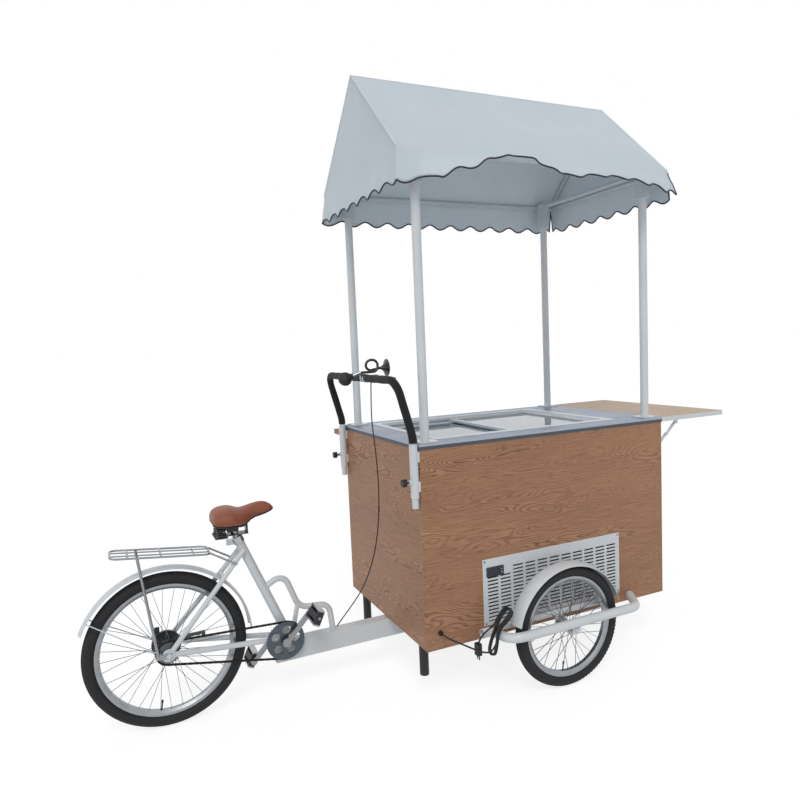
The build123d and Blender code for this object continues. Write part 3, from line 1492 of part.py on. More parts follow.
# The rear wheel: rim, spokes, hub, and the cog on its right.
def rear_wheel():
    centre = (REAR_AXLE_X, 0, REAR_AXLE_Z)
    bore = AXLE_DIA / 2 + RUN_GAP
    end = REAR_HUB_SPAN / 2
    shell = HUB_DIA / 2
    flange = FLANGE_DIA / 2
    cog = CHAIN_LINE
    left = LEFT_FLANGE_OUT
    right = RIGHT_FLANGE_OUT
    body = COG_BODY_WIDTH / 2
    outline = [
        (-end, bore),
        (end, bore),
        (end, HUB_NECK),
        (left, HUB_NECK),
        (left, flange),
        (left - FLANGE_WIDTH, flange),
        (left - FLANGE_WIDTH, shell),
        (-right + FLANGE_WIDTH, shell),
        (-right + FLANGE_WIDTH, flange),
        (-right, flange),
        (-right, shell),
        (-cog + body, COG_BODY_DIA / 2),
        (-cog - body, COG_BODY_DIA / 2),
        (-cog - body - WELD_BITE, HUB_END),
        (-end, HUB_NECK),
    ]
    hub = turned(outline, centre)
    phase = wrap_phase((REAR_AXLE_X, REAR_AXLE_Z), COG_RADIUS)
    teeth = Pos(REAR_AXLE_X, -cog, REAR_AXLE_Z) * toothed(COG_TEETH, COG_RADIUS, SPROCKET_THICK, phase)
    middle = FLANGE_WIDTH / 2
    wheel = hub + spoke_set(REAR_BEAD_DIA, middle - right, left - middle, centre)
    wheel += [rim_ring(REAR_BEAD_DIA, centre), teeth]
    return wheel - rod((REAR_AXLE_X, -end, REAR_AXLE_Z), (REAR_AXLE_X, end, REAR_AXLE_Z), 2 * bore)


def pedal_spot(side):
    """Pedal axle position: right side -1, left side +1."""
    angle = radians(CRANK_ANGLE) if side < 0 else radians(CRANK_ANGLE + 180)
    return BRACKET_X + CRANK_LENGTH * cos(angle), BRACKET_HEIGHT + CRANK_LENGTH * sin(angle)


# The crankset: chain ring, guard disc with five windows, spindle, arms and pedal axles.
def crankset():
    centre = (BRACKET_X, -CHAIN_LINE, BRACKET_HEIGHT)
    phase = wrap_phase((BRACKET_X, BRACKET_HEIGHT), RING_RADIUS)
    ring = Pos(*centre) * toothed(RING_TEETH, RING_RADIUS, SPROCKET_THICK, phase)
    guard_y = -CHAIN_LINE - RING_COVER_OUT
    face = guard_y - RING_COVER
    x = BRACKET_X
    z = BRACKET_HEIGHT
    disc = rod((x, face, z), (x, guard_y, z), 2 * (RING_RADIUS + RING_COVER_RIM))
    boss = rod((x, guard_y, z), (x, -CHAIN_LINE, z), 2 * (RING_RADIUS - RING_BOSS_IN))
    body = ring + disc + boss
    windows = []
    for index in range(RING_WINDOWS):
        angle = radians(CRANK_ANGLE) + 2 * pi * (index + 0.5) / RING_WINDOWS
        wx = x + RING_WINDOW_OUT * cos(angle)
        wz = z + RING_WINDOW_OUT * sin(angle)
        windows.append(rod((wx, face, wz), (wx, -CHAIN_LINE + SPROCKET_THICK, wz), RING_WINDOW))
    body -= windows
    body += rod((x, -CRANK_OUT, z), (x, CRANK_OUT, z), SPINDLE_DIA)
    for side in (-1, 1):
        px, pz = pedal_spot(side)
        y = side * (CRANK_OUT + CRANK_THICK / 2)
        angle = degrees(atan2(pz - BRACKET_HEIGHT, px - BRACKET_X))
        middle = Pos((px + BRACKET_X) / 2, y, (pz + BRACKET_HEIGHT) / 2) * Rot(0, -angle, 0)
        body += middle * Box(CRANK_LENGTH, CRANK_THICK, CRANK_WIDTH)
        for ex, ez, wide in ((x, z, CRANK_BOSS), (px, pz, CRANK_EYE)):
            body += rod((ex, y - CRANK_THICK / 2, ez), (ex, y + CRANK_THICK / 2, ez), wide)
        reach = side * (CRANK_OUT + CRANK_THICK + PEDAL_LENGTH + PEDAL_PIN_END)
        body += rod((px, y, pz), (px, reach, pz), PEDAL_PIN)
    return body


# One pedal: a ribbed block turning on its axle.
def pedal(side):
    px, pz = pedal_spot(side)
    inner = CRANK_OUT + CRANK_THICK + PEDAL_GAP
    y = side * (inner + PEDAL_LENGTH / 2)
    tilt = Pos(px, y, pz) * Rot(0, -PEDAL_TILT, 0)
    body = Box(PEDAL_WIDTH, PEDAL_LENGTH, PEDAL_THICK)
    slot_x = PEDAL_WIDTH * 0.28
    for x in (-slot_x, slot_x):
        body -= Pos(x, 0, 0) * Box(PEDAL_SLOT, PEDAL_LENGTH - 2 * PEDAL_RIB, PEDAL_THICK)
    body = tilt * body
    outer = inner + PEDAL_LENGTH
    return body - rod((px, side * inner, pz), (px, side * outer, pz), PEDAL_PIN + 2 * RUN_GAP)


def seat_axis():
    """Foot of the seat tube on the beam and its unit direction."""
    foot = (BRACKET_X + SEAT_AHEAD, BEAM_TOP)
    return foot, (-cos(radians(SEAT_TUBE_ANGLE)), sin(radians(SEAT_TUBE_ANGLE)))


def on_seat(distance):
    """A point on the seat tube's axis."""
    foot, way = seat_axis()
    return foot[0] + distance * way[0], 0, foot[1] + distance * way[1]


def seat_length():
    """Length of the seat tube from the beam to its top."""
    return (SEAT_TUBE_TOP - BEAM_TOP) / sin(radians(SEAT_TUBE_ANGLE))


# The main frame: beam, head tube, bracket shell, seat tube with collar, and the swan-neck hoop.
def main_frame():
    half = BEAM_WIDTH / 2
    wall = BEAM_WALL
    rear = BRACKET_X - BEAM_TAIL
    beam = block(rear, FRONT_AXLE_X, -half, half, BEAM_BOTTOM, BEAM_TOP)
    hollow = block(
        rear, FRONT_AXLE_X - HEAD_DIA, -half + wall, half - wall, BEAM_BOTTOM + wall, BEAM_TOP - wall
    )
    beam -= hollow
    head_top = CAB_BOTTOM - RUN_GAP
    bore = KINGPIN_DIA + 2 * RUN_GAP
    axis = (FRONT_AXLE_X, 0, HEAD_BOTTOM), (FRONT_AXLE_X, 0, head_top)
    beam += rod(*axis, HEAD_DIA)
    beam -= rod(*axis, bore)
    shell = BRACKET_LENGTH / 2
    beam += rod((BRACKET_X, -shell, BRACKET_HEIGHT), (BRACKET_X, shell, BRACKET_HEIGHT), BRACKET_DIA)
    length = seat_length()
    beam += rod(on_seat(-wall), on_seat(length), SEAT_TUBE_DIA)
    collar_top = length + COLLAR_HEIGHT
    beam += rod(on_seat(length - COLLAR_DROP), on_seat(collar_top), SEAT_TUBE_DIA + 2 * COLLAR_WALL)
    lug = on_seat(length + COLLAR_HEIGHT * 0.4)
    bolt_x = lug[0] - BOLT_BACK
    bolt_z = lug[2] - BOLT_DROP
    beam += block(bolt_x - BOLT_LENGTH, bolt_x, -BOLT_HALF, BOLT_HALF, bolt_z, bolt_z + BOLT_HEIGHT)
    start = on_seat(HOOP_START)
    foot = start[0] + HOOP_REACH
    hoop = [
        (start[0] + HOOP_DIA / 4, 0, start[2] - HOOP_DIA / 6),
        (foot - HOOP_RISE_X, 0, start[2] + HOOP_RISE),
        (foot - HOOP_DIP_X, 0, start[2] - HOOP_DIP),
        (foot - HOOP_RUN_X, 0, start[2] - HOOP_RUN),
        (foot, 0, BEAM_TOP - wall),
    ]
    beam += bent_tube(hoop, [HOOP_TOP_ARC, HOOP_DIP_ARC, HOOP_FOOT_ARC], HOOP_DIA)
    strut_top = (foot - HOOP_DIP_X - HOOP_DIA / 4, 0, start[2] - HOOP_DIP + HOOP_DIA * 0.64)
    beam += rod((BRACKET_X + STRUT_AHEAD, 0, BEAM_TOP), strut_top, HOOP_DIA * 0.8)
    stop = cable_stop()
    edge = CABLE_DIA * 1.2
    stop_top = BEAM_TOP + STOP_HEIGHT
    beam += block(foot, stop[0] + edge, stop[1] - edge, stop[1] + edge, BEAM_TOP - wall, stop_top)
    post_bore = SEAT_POST_DIA + 2 * RUN_GAP
    beam -= rod(on_seat(BRACKET_DIA * 0.75), on_seat(collar_top + WELD_BITE), post_bore)
    spindle_bore = SPINDLE_DIA + 2 * RUN_GAP
    return beam - rod((BRACKET_X, -shell, BRACKET_HEIGHT), (BRACKET_X, shell, BRACKET_HEIGHT), spindle_bore)


def dropout_face():
    """Inner face of a rear dropout, from the centre plane."""
    return REAR_HUB_SPAN / 2 + RUN_GAP


# The rear triangle: seat stays, chain stays, bridges, dropouts and the rear axle.
def rear_stays():
    inner = dropout_face()
    x = REAR_AXLE_X
    z = REAR_AXLE_Z
    end_y = inner + REAR_AXLE_END
    bars = rod((x, -end_y, z), (x, end_y, z), AXLE_DIA)
    top, low = seat_stay_ends()
    front, end = chain_stay_ends()
    for side in (-1, 1):
        face = inner + DROPOUT
        nut = face + REAR_NUT_GAP
        bars += rod((x, side * inner, z), (x, side * face, z), DROPOUT_DIA)
        bars += rod((x, side * nut, z), (x, side * (nut + REAR_NUT_THICK), z), REAR_NUT)
        for a, b, wide in ((top, low, STAY_DIA), (front, end, CHAIN_STAY_DIA)):
            bars += rod((a[0], side * a[1], a[2]), (b[0], side * b[1], b[2]), wide)
    bridge = bridge_point()
    bars += rod((bridge[0], -bridge[1], bridge[2]), bridge, BRIDGE_DIA)
    back = front[0] - BRACKET_DIA
    brace_y = front[1] + DROPOUT
    brace_z = front[2] + DROPOUT
    bars += rod((back, -brace_y, brace_z), (back, brace_y, brace_z), BRIDGE_DIA)
    return bars


def seat_stay_ends():
    """Top and bottom ends of the left seat stay."""
    top = on_seat(seat_length() - STAY_JOIN)
    y = SEAT_TUBE_DIA / 2 + STAY_DIA / 2 + RUN_GAP
    low_x = REAR_AXLE_X + DROPOUT_DIA * 0.32
    low_z = REAR_AXLE_Z + DROPOUT_DIA * 0.36
    return (top[0], y, top[2]), (low_x, dropout_face() + DROPOUT / 2, low_z)


def chain_stay_ends():
    """Front and rear ends of the left chain stay."""
    x = BRACKET_X - BRACKET_DIA / 2 - 8 * SEAT_GAP
    front = (x, CHAIN_STAY_IN, BRACKET_HEIGHT + 2 * WELD_BITE)
    return front, (REAR_AXLE_X + DROPOUT_DIA * 0.44, dropout_face() + DROPOUT / 2, REAR_AXLE_Z)


def on_seat_stay(part):
    """A point on the left seat stay's axis."""
    top, low = seat_stay_ends()
    return tuple(a + (b - a) * part for a, b in zip(top, low))


def bridge_point():
    """Where the seat-stay bridge runs, just clear of the mudguard's crown."""
    reach = REAR_FENDER_RADIUS + BRIDGE_DIA / 2 + SEAT_GAP
    part = 0.0
    point = on_seat_stay(part)
    while hypot(point[0] - REAR_AXLE_X, point[2] - REAR_AXLE_Z) > reach:
        part += 0.001
        point = on_seat_stay(part)
    return point


# The rear mudguard with a pair of wire stays from its tail to the axle.
def rear_fender():
    centre = (REAR_AXLE_X, 0, REAR_AXLE_Z)
    shell = Pos(*centre) * fender_shell(
        REAR_FENDER_RADIUS, REAR_FENDER_HALF, REAR_FENDER_CROWN, REAR_FENDER_NOSE, REAR_FENDER_TAIL
    )
    angle = radians(REAR_FENDER_TAIL * 0.943)
    radius = REAR_FENDER_RADIUS - REAR_FENDER_CROWN - WELD_BITE
    tail_x = REAR_AXLE_X + radius * cos(angle)
    tail_z = REAR_AXLE_Z + radius * sin(angle)
    end_y = dropout_face() + DROPOUT / 2
    for side in (-1, 1):
        tip = (REAR_AXLE_X - DROPOUT_DIA * 0.52, side * end_y, REAR_AXLE_Z + DROPOUT_DIA * 0.12)
        shell += rod((tail_x, side * (REAR_FENDER_HALF - WELD_BITE), tail_z), tip, FENDER_STAY)
    return shell


# The carrier over the rear wheel: two rod hoops, cross rods, legs and front struts.
def rack_points():
    """Front and rear ends of the rack deck in x and z, and its half width."""
    z = REAR_AXLE_Z + REAR_FENDER_RADIUS + RACK_CLEAR
    return REAR_AXLE_X + RACK_REACH, z, REAR_AXLE_X - RACK_REACH, z + RACK_RISE, RACK_HALF


def wire(start, end, diameter):
    """A straight rod of a few flat sides."""
    axis = Vector(*end) - Vector(*start)
    section = RegularPolygon(diameter / 2, WIRE_SIDES)
    return extrude(Plane(origin=start, z_dir=axis) * section, amount=axis.length)


def rear_rack():
    x0, z0, x1, z1, half = rack_points()
    rise = (z1 - z0) / (x1 - x0)
    hoop = [
        (x1, 0.1, z1),
        (x1, -half, z1),
        (x0, -half, z0),
        (x0, half, z0),
        (x1, half, z1),
        (x1, 0.2, z1),
    ]
    rack = faceted_tube(hoop, [RACK_CORNER] * 4, RACK_ROD, WIRE_SIDES)
    for x in (x0 - RACK_BAR_IN, REAR_AXLE_X, x1 + RACK_BAR_IN):
        z = z0 + rise * (x - x0)
        rack += wire((x, -half, z), (x, half, z), RACK_ROD - 1)
    for y in (-RACK_WIRE_Y, RACK_WIRE_Y):
        rack += wire((x0, y, z0), (x1, y, z1), RACK_ROD - 2)
    strut = on_seat_stay(0.13)
    stay_y = strut[1] + STAY_DIA / 2 + RACK_ROD / 2 + 5 * SEAT_GAP
    leg_x = x1 + RACK_LEG_IN
    leg_z = z0 + rise * (leg_x - x0)
    eye = dropout_face() + DROPOUT + RACK_EYE_GAP
    out = eye + RACK_EYE_THICK
    foot = REAR_AXLE_X - RACK_FOOT_BACK
    z = REAR_AXLE_Z
    for side in (-1, 1):
        strut_end = (strut[0] + STAY_DIA * 0.3, side * stay_y, strut[2] - STAY_DIA * 0.3)
        rack += wire((x0, side * RACK_STRUT_Y, z0), strut_end, RACK_ROD)
        lug = block(foot - RACK_ROD, REAR_AXLE_X + RACK_EYE, eye, out, z - RACK_EYE, z + RACK_EYE)
        lug -= rod((REAR_AXLE_X, 0, z), (REAR_AXLE_X, 2 * out, z), AXLE_DIA + 2 * SEAT_GAP)
        lug += wire((leg_x, half, leg_z), (foot, eye + RACK_LEG / 2 + SEAT_GAP, z + 2 * WELD_BITE), RACK_LEG)
        rack += lug if side > 0 else mirrored(lug)
    return rack


# The band brake on the left of the hub: a drum cover, its reaction arm and cable arm.
def band_brake():
    y0 = BRAKE_IN
    y1 = BRAKE_IN + BRAKE_WIDTH
    plate_y = y1 - BRAKE_SHELL
    x = REAR_AXLE_X
    z = REAR_AXLE_Z
    bore = 2 * HUB_NECK + 2 * RUN_GAP
    cover = rod((x, y0, z), (x, y1, z), BRAKE_DIA)
    cover -= rod((x, y0, z), (x, plate_y, z), BRAKE_DIA - 2 * BRAKE_SHELL)
    cover += rod((x, plate_y, z), (x, dropout_face() - RUN_GAP, z), BRAKE_NECK)
    cover -= rod((x, y0, z), (x, dropout_face(), z), bore)
    reach = x + BRAKE_ARM
    low = z + BRAKE_ARM_RISE
    high = low + BRAKE_ARM_HEIGHT
    cover += block(x + BRAKE_DIA * 0.43, reach, plate_y, y1, low, high)
    hook = reach - BRAKE_ARM_HEIGHT
    cover += block(hook, reach, plate_y - BRAKE_SHELL, y1 + BRAKE_SHELL, stay_top(hook) + SEAT_GAP, high)
    arm_x = x - BRAKE_DIA * 0.36
    arm_z = z + BRAKE_DIA * 0.32
    cover += block(arm_x, arm_x + BRAKE_CABLE_ARM / 2, plate_y, y1, arm_z, arm_z + BRAKE_CABLE_ARM)
    return cover


def stay_top(x):
    """Highest point of the left chain stay's tube at one x."""
    front, end = chain_stay_ends()
    part = (x - front[0]) / (end[0] - front[0])
    return front[2] + (end[2] - front[2]) * part + CHAIN_STAY_DIA / 2 + 2.5 * SEAT_GAP


def cable_route():
    """Points of the cable from the lever to its stop, sagging off the straight line."""
    px, py, pz = lever_pivot()
    top = (px - LEVER_AHEAD / 2, py + WELD_BITE, pz - LEVER_BLOCK / 2 - SEAT_GAP)
    end = cable_stop()
    points = [top]
    for part, ahead, aside in CABLE_SAG:
        x, y, z = (a + (b - a) * part for a, b in zip(top, end))
        points.append((x + ahead, y + aside, z))
    return points + [end]


def cable_stop():
    """Where the cable ends, on a small stop at the foot of the hoop."""
    x = on_seat(HOOP_START)[0] + HOOP_REACH + HOOP_DIA / 2 + CABLE_DIA
    return x, -CABLE_DIA * 0.4, BEAM_TOP + STOP_HEIGHT + SEAT_GAP


def route_radii(points):
    """The largest arc each corner of a route has room for."""
    radii = []
    for index in range(1, len(points) - 1):
        a = Vector(*points[index]) - Vector(*points[index - 1])
        b = Vector(*points[index + 1]) - Vector(*points[index])
        turn = radians(a.get_angle(b))
        radii.append(0.45 * min(a.length, b.length) / tan(turn / 2))
    return radii


def faceted_tube(points, radii, diameter, sides):
    """A tube of a few flat sides along a route."""
    path = FilletPolyline(*points, radius=radii)
    start = Plane(origin=path @ 0, z_dir=path % 0)
    return sweep(start * RegularPolygon(diameter / 2, sides), path=path)


def measured_tube(name, points, radii, diameter):
    """A cord's tube; prints its length and its volume against section times length."""
    tube = faceted_tube(points, radii, diameter, CORD_SIDES)
    length = FilletPolyline(*points, radius=radii).length
    section = CORD_SIDES / 2 * (diameter / 2) ** 2 * sin(2 * pi / CORD_SIDES)
    print(name, "length", round(length), "volume share", round(tube.volume / (section * length), 3))
    return tube


def self_gap(points, radii, diameter):
    """Smallest gap between a tube and itself, measured on points along its middle line."""
    path = FilletPolyline(*points, radius=radii)
    count = int(path.length / 2)
    spots = [tuple(path @ (index / count)) for index in range(count + 1)]
    apart = 4 * int(diameter)
    gaps = []
    for index, a in enumerate(spots):
        for b in spots[index + apart :]:
            gaps.append(hypot(a[0] - b[0], a[1] - b[1], a[2] - b[2]))
    return min(gaps) - diameter


# The brake cable, hanging from the lever to the stop on the beam.
def brake_cable():
    points = cable_route()
    radii = route_radii(points)
    print("brake cable radii", [round(r) for r in radii])
    return measured_tube("brake cable", points, radii, CABLE_DIA)


def post_head():
    """Middle of the seat post's clamp head."""
    return on_seat(seat_length() + HEAD_RISE)


# The seat post, standing in the seat tube, with its clamp head.
def seat_post():
    length = seat_length()
    post = rod(on_seat(length - POST_IN), on_seat(length + POST_END), SEAT_POST_DIA)
    post += Pos(*post_head()) * Box(POST_HEAD, POST_HEAD_WIDTH, POST_HEAD_HEIGHT)
    return post


# The saddle: a padded shell lofted through its cross sections.
def saddle():
    rear = post_head()[0] - SADDLE_REAR
    top = SADDLE_TOP
    faces = []
    for part, half, high, low in SADDLE_SECTIONS:
        x = rear + part * SADDLE_LENGTH
        tall = high - low
        a = (0.82 * half, top + low)
        b = (0.80 * half, top + low + 0.78 * tall)
        edges = [
            Line((-a[0], a[1]), a),
            ThreePointArc(a, (half, top + low + 0.40 * tall), b),
            ThreePointArc(b, (0, top + high), (-b[0], b[1])),
            ThreePointArc((-b[0], b[1]), (-half, top + low + 0.40 * tall), (-a[0], a[1])),
        ]
        faces.append(Pos(x, 0, 0) * (Plane.YZ * make_face(edges)))
    return loft(faces)


def spring_route(x, y, low):
    """A coil spring's route: rounded square turns that climb steadily."""
    r = SPRING_HALF
    corners = [(r, r), (-r, r), (-r, -r), (r, -r)]
    points = [(x + r, y, low)]
    for index in range(4 * SPRING_TURNS):
        dx, dy = corners[index % 4]
        points.append((x + dx, y + dy, low + (index + 0.5) * SPRING_PITCH / 4))
    points.append((x + r, y, low + 4 * SPRING_TURNS * SPRING_PITCH / 4))
    return points


# The saddle's undercarriage: two rails on the post head and two coil springs at the back.
def saddle_springs():
    head = post_head()[0]
    under = SADDLE_TOP - SADDLE_UNDER
    rear = head - SPRING_BACK
    low = under - SPRING_TURNS * SPRING_PITCH - SPRING_SEAT
    half = SPRING_SEAT / 2
    wide = 2 * SPRING_HALF + SPRING_PLATE
    pieces = []
    for side in (-1, 1):
        y = side * SPRING_Y
        route = spring_route(rear, y, low + half)
        end_arc = 0.46 * SPRING_HALF
        radii = [end_arc] + [2 * end_arc] * (len(route) - 4) + [end_arc]
        coil = faceted_tube(route, radii, SPRING_WIRE, SPRING_SIDES)
        plates = rod((rear, y, low - half), (rear, y, low + half), wide)
        plates += rod((rear, y, under - STRAP_THICK), (rear, y, under), wide)
        pieces.append(plates + coil)
    top = low - half
    base = top - STRAP_THICK
    back = rear - wide * 0.64
    edge = SPRING_Y + SPRING_WIRE
    nose = head + POST_HEAD * 1.36
    rail = block(back, rear + wide * 0.68, -edge, edge, base, top)
    rail += block(rear, nose, -edge / 2, edge / 2, base, top)
    rail += block(nose - SPRING_PLATE, nose, -edge / 3, edge / 3, base, under - SPRING_SEAT)
    rail -= rod(on_seat(seat_length()), on_seat(seat_length() + 2 * POST_END), SEAT_POST_DIA + 2 * SEAT_GAP)
    pieces.append(rail)
    return pieces


# The front table board with its two hinge eyes and two stay lugs.
def table_top():
    half = CAB_WIDTH / 2
    top = CAB_TOP
    x0 = CAB_LENGTH + TABLE_GAP
    under = top - TABLE_THICK
    board = block(x0, TABLE_FRONT, -half, half, under, top)
    hx, hz = hinge_line()
    y = HINGE_Y
    near = y - EYE_HALF
    far = y + EYE_HALF
    eye = rod((hx, near, hz), (hx, far, hz), HINGE_PIN + 2 * EYE_WALL)
    eye += block(hx - EYE_WALL - WELD_BITE, hx + EYE_STRAP, near, far, hz + HINGE_PIN / 2, under)
    eye -= rod((hx, near, hz), (hx, far, hz), HINGE_PIN + 2 * RUN_GAP)
    bx = hx + STAY_ARM
    plane = stay_planes()[1]
    lug_y = plane + STAY_THICK / 2 + KNEE_GAP
    half_lug = LUG_STRAP / 2
    lug = block(bx - half_lug, bx + half_lug, lug_y, lug_y + IRON_THICK, hz - HINGE_PIN - WELD_BITE, under)
    lug += rod((bx, plane - STAY_THICK / 2, hz), (bx, lug_y, hz), HINGE_PIN)
    fittings = [eye, lug]
    return [board] + fittings + [mirrored(piece) for piece in fittings]


def hinge_line():
    """The table hinge axis: x and z."""
    return CAB_LENGTH + HINGE_OUT, CAB_TOP - TABLE_THICK - HINGE_DROP


def stay_planes():
    """Middle y of the lower and of the upper stay links."""
    low = HINGE_Y + STAY_OUT
    return low, low + STAY_THICK + KNEE_GAP


def link(ax, az, kx, kz, plane, boss):
    """One flat stay link from its pivot to the knee."""
    y0 = plane - STAY_THICK / 2
    y1 = plane + STAY_THICK / 2
    angle = degrees(atan2(kz - az, kx - ax))
    length = hypot(kx - ax, kz - az)
    bar = Pos((ax + kx) / 2, plane, (az + kz) / 2) * Rot(0, -angle, 0) * Box(length, STAY_THICK, STAY_WIDTH)
    bar += rod((ax, y0, az), (ax, y1, az), STAY_WIDTH)
    bar += rod((kx, y0, kz), (kx, y1, kz), STAY_WIDTH)
    bar += rod((kx, boss, kz), (kx, plane, kz), HINGE_PIN)
    return bar - rod((ax, y0, az), (ax, y1, az), HINGE_PIN + 2 * RUN_GAP)


# The two lower stay links, pivoted on the wall irons.
def stay_lower():
    hx, hz = hinge_line()
    arm = STAY_ARM
    plane = stay_planes()[0]
    near = link(hx, hz - arm, hx + arm / 2, hz - arm / 2, plane, plane - STAY_THICK)
    return [near, mirrored(near)]


# The two upper stay links, pivoted under the table.
def stay_upper():
    hx, hz = hinge_line()
    arm = STAY_ARM
    plane = stay_planes()[1]
    near = link(hx + arm, hz, hx + arm / 2, hz - arm / 2, plane, plane + STAY_THICK)
    return [near, mirrored(near)]


# The irons on the cabinet: table hinges with stay pivots, and three brackets for the shelf.
def shelf_irons():
    hx, hz = hinge_line()
    wall = CAB_LENGTH
    y = HINGE_Y
    plane = stay_planes()[0]
    cheek = EYE_HALF + RUN_GAP
    out = 2 * EYE_HALF
    front = hx + EYE_HALF
    low = hz - STAY_ARM
    plate_top = hz + HINGE_PIN + WELD_BITE
    plate_low = low - 3 * HINGE_PIN
    near = y - out - IRON_THICK
    iron = block(wall, wall + HINGE_PLATE, near, plane - HINGE_PLATE, plate_low, plate_top)
    for y0, y1 in ((y - out, y - cheek), (y + cheek, y + out)):
        iron += block(wall, front, y0, y1, hz - HINGE_PIN, hz + EYE_HALF)
    iron += rod((hx, y - out, hz), (hx, y + out, hz), HINGE_PIN)
    lug = plane - STAY_THICK / 2 - RUN_GAP
    iron += block(wall, front, lug - EYE_HALF, lug, low - HINGE_PIN, low + HINGE_PIN)
    iron += rod((hx, lug - EYE_HALF, low), (hx, plane + STAY_THICK / 2, low), HINGE_PIN)
    pieces = [iron, mirrored(iron)]
    under = SHELF_TOP - SHELF_THICK
    face = CAB_WIDTH / 2
    wide = IRON_WIDTH / 2
    thick = IRON_THICK
    foot = face + thick / 2
    for x in (IRON_INSET, CAB_LENGTH / 2, CAB_LENGTH - IRON_INSET):
        bracket = block(x - wide, x + wide, face, face + thick, under - IRON_LEG, under)
        bracket += block(x - wide, x + wide, face, face + SHELF_DEPTH - IRON_SHORT, under - thick, under)
        tip = face + SHELF_DEPTH - IRON_SHORT * 4 / 3
        corners = [(foot, under - IRON_LEG * 0.92), (tip, under - thick / 2), (foot, under - thick / 2)]
        bracket += Pos(x - thick / 2, 0, 0) * (Plane.YZ * plate(corners, thick))
        pieces.append(bracket)
    return pieces


# The fixed shelf board along the left side.
def side_shelf():
    face = CAB_WIDTH / 2 + SEAT_GAP
    return block(0, CAB_LENGTH, face, face + SHELF_DEPTH, SHELF_TOP - SHELF_THICK, SHELF_TOP)


# The gland that leads the mains cord through the right board.
def cord_gland():
    inner = -CAB_WIDTH / 2 + PANEL
    face = -CAB_WIDTH / 2
    end = face - GLAND_OUT
    body = rod((GLAND_X, end, GLAND_Z), (GLAND_X, inner, GLAND_Z), GLAND_DIA - 2 * SEAT_GAP)
    body += rod((GLAND_X, face - GLAND_NUT, GLAND_Z), (GLAND_X, face, GLAND_Z), GLAND_NUT_DIA)
    return body - rod((GLAND_X, end, GLAND_Z), (GLAND_X, inner, GLAND_Z), CORD_DIA + 2 * SEAT_GAP)


def cord_route():
    """The mains cord from the gland, sagging, and up to the hank on the guard bar."""
    face = -CAB_WIDTH / 2
    knee = hank_knee()
    run = knee[0] - GLAND_X
    drop = knee[2] - GLAND_Z
    points = [(GLAND_X, face + PANEL - 2 * WELD_BITE, GLAND_Z), (GLAND_X, face - CORD_START_OUT, GLAND_Z)]
    for along_run, out, down in CORD_SAG:
        points.append((GLAND_X + run * along_run, face - out, GLAND_Z + drop * down))
    end = tuple(a + (b - a) * 0.99 for a, b in zip(knee, hank_points()[0]))
    return points + [knee, end]


def hank_knee():
    """The low corner where the cord turns up into the hank."""
    return guard_rear() - HANK_KNEE_BACK, -CAB_WIDTH / 2 - HANK_KNEE_OUT, GUARD_Z - HANK_KNEE_DROP


def hank_sheet(s):
    """A point on the curved middle line of the hank and its normal, s from -1 low to 1 high."""
    x = guard_rear()
    low = (x - HANK_LOW_BACK, GUARD_Z - HANK_LOW_DROP)
    waist = (x - HANK_WAIST_BACK, GUARD_Z + HANK_WAIST_RISE)
    high = (x + HANK_TOP_AHEAD, GUARD_Z + HANK_TOP_RISE)
    end = low if s < 0 else high
    x = waist[0] + (end[0] - waist[0]) * abs(s)
    z = waist[1] + (end[1] - waist[1]) * abs(s)
    way = (waist[0] - low[0], waist[1] - low[1]) if s < 0 else (high[0] - waist[0], high[1] - waist[1])
    if s == 0:
        way = (high[0] - low[0], high[1] - low[1])
    length = hypot(*way)
    return x, z, -way[1] / length, way[0] / length


def hank_points():
    """One unbroken route of alike loops, drawn in where they cross the guard bar."""
    middle = -CAB_WIDTH / 2 - HANK_OUT
    half = HANK_HALF
    waist = HANK_WAIST
    rise = [(-0.95, half), (-0.5, half), (0, waist), (0.4, half), (0.95, half)]
    points = []
    for turn in range(HANK_TURNS):
        for way in (-1, 1):
            steps = rise if way < 0 else list(reversed(rise))
            for index, (s, wide) in enumerate(steps):
                x, z, nx, nz = hank_sheet(s)
                lift = HANK_STEP * turn
                if way > 0:
                    lift += HANK_STEP * index / len(steps)
                points.append((x + nx * lift, middle + way * wide, z + nz * lift))
    knee = hank_knee()
    first = points[2]
    start = tuple((a + b) / 2 for a, b in zip(knee, first))
    x, y, z = points[-3]
    turn = PLUG_LENGTH / 2
    tail = [(x - 1.83 * turn, y + turn, z - 1.67 * turn), (x - 2.25 * turn, y + 1.33 * turn, z - 3 * turn)]
    return [start] + points[2:-2] + tail


def power_cord():
    points = cord_route()
    radii = route_radii(points)
    print("power cord radii", [round(r) for r in radii])
    return measured_tube("power cord", points, radii, CORD_DIA)


def cord_hank():
    points = hank_points()
    radii = route_radii(points)
    print("hank radii", [round(r) for r in radii])
    print("hank gap to itself", round(self_gap(points, radii, CORD_DIA), 2))
    return measured_tube("hank", points, radii, CORD_DIA)


# The plug at the hank's end.
def power_plug():
    x, y, z = hank_points()[-1]
    x -= 2 * WELD_BITE
    y += WELD_BITE
    top = z - 2 * WELD_BITE
    low = top - PLUG_LENGTH
    body = Pos(x, y, (low + top) / 2) * Box(PLUG_THICK, PLUG_WIDTH, PLUG_LENGTH)
    for side in (-PLUG_PIN_HALF, PLUG_PIN_HALF):
        body += rod((x, y + side, low - PLUG_PIN_LENGTH), (x, y + side, low), PLUG_PIN)
    return body


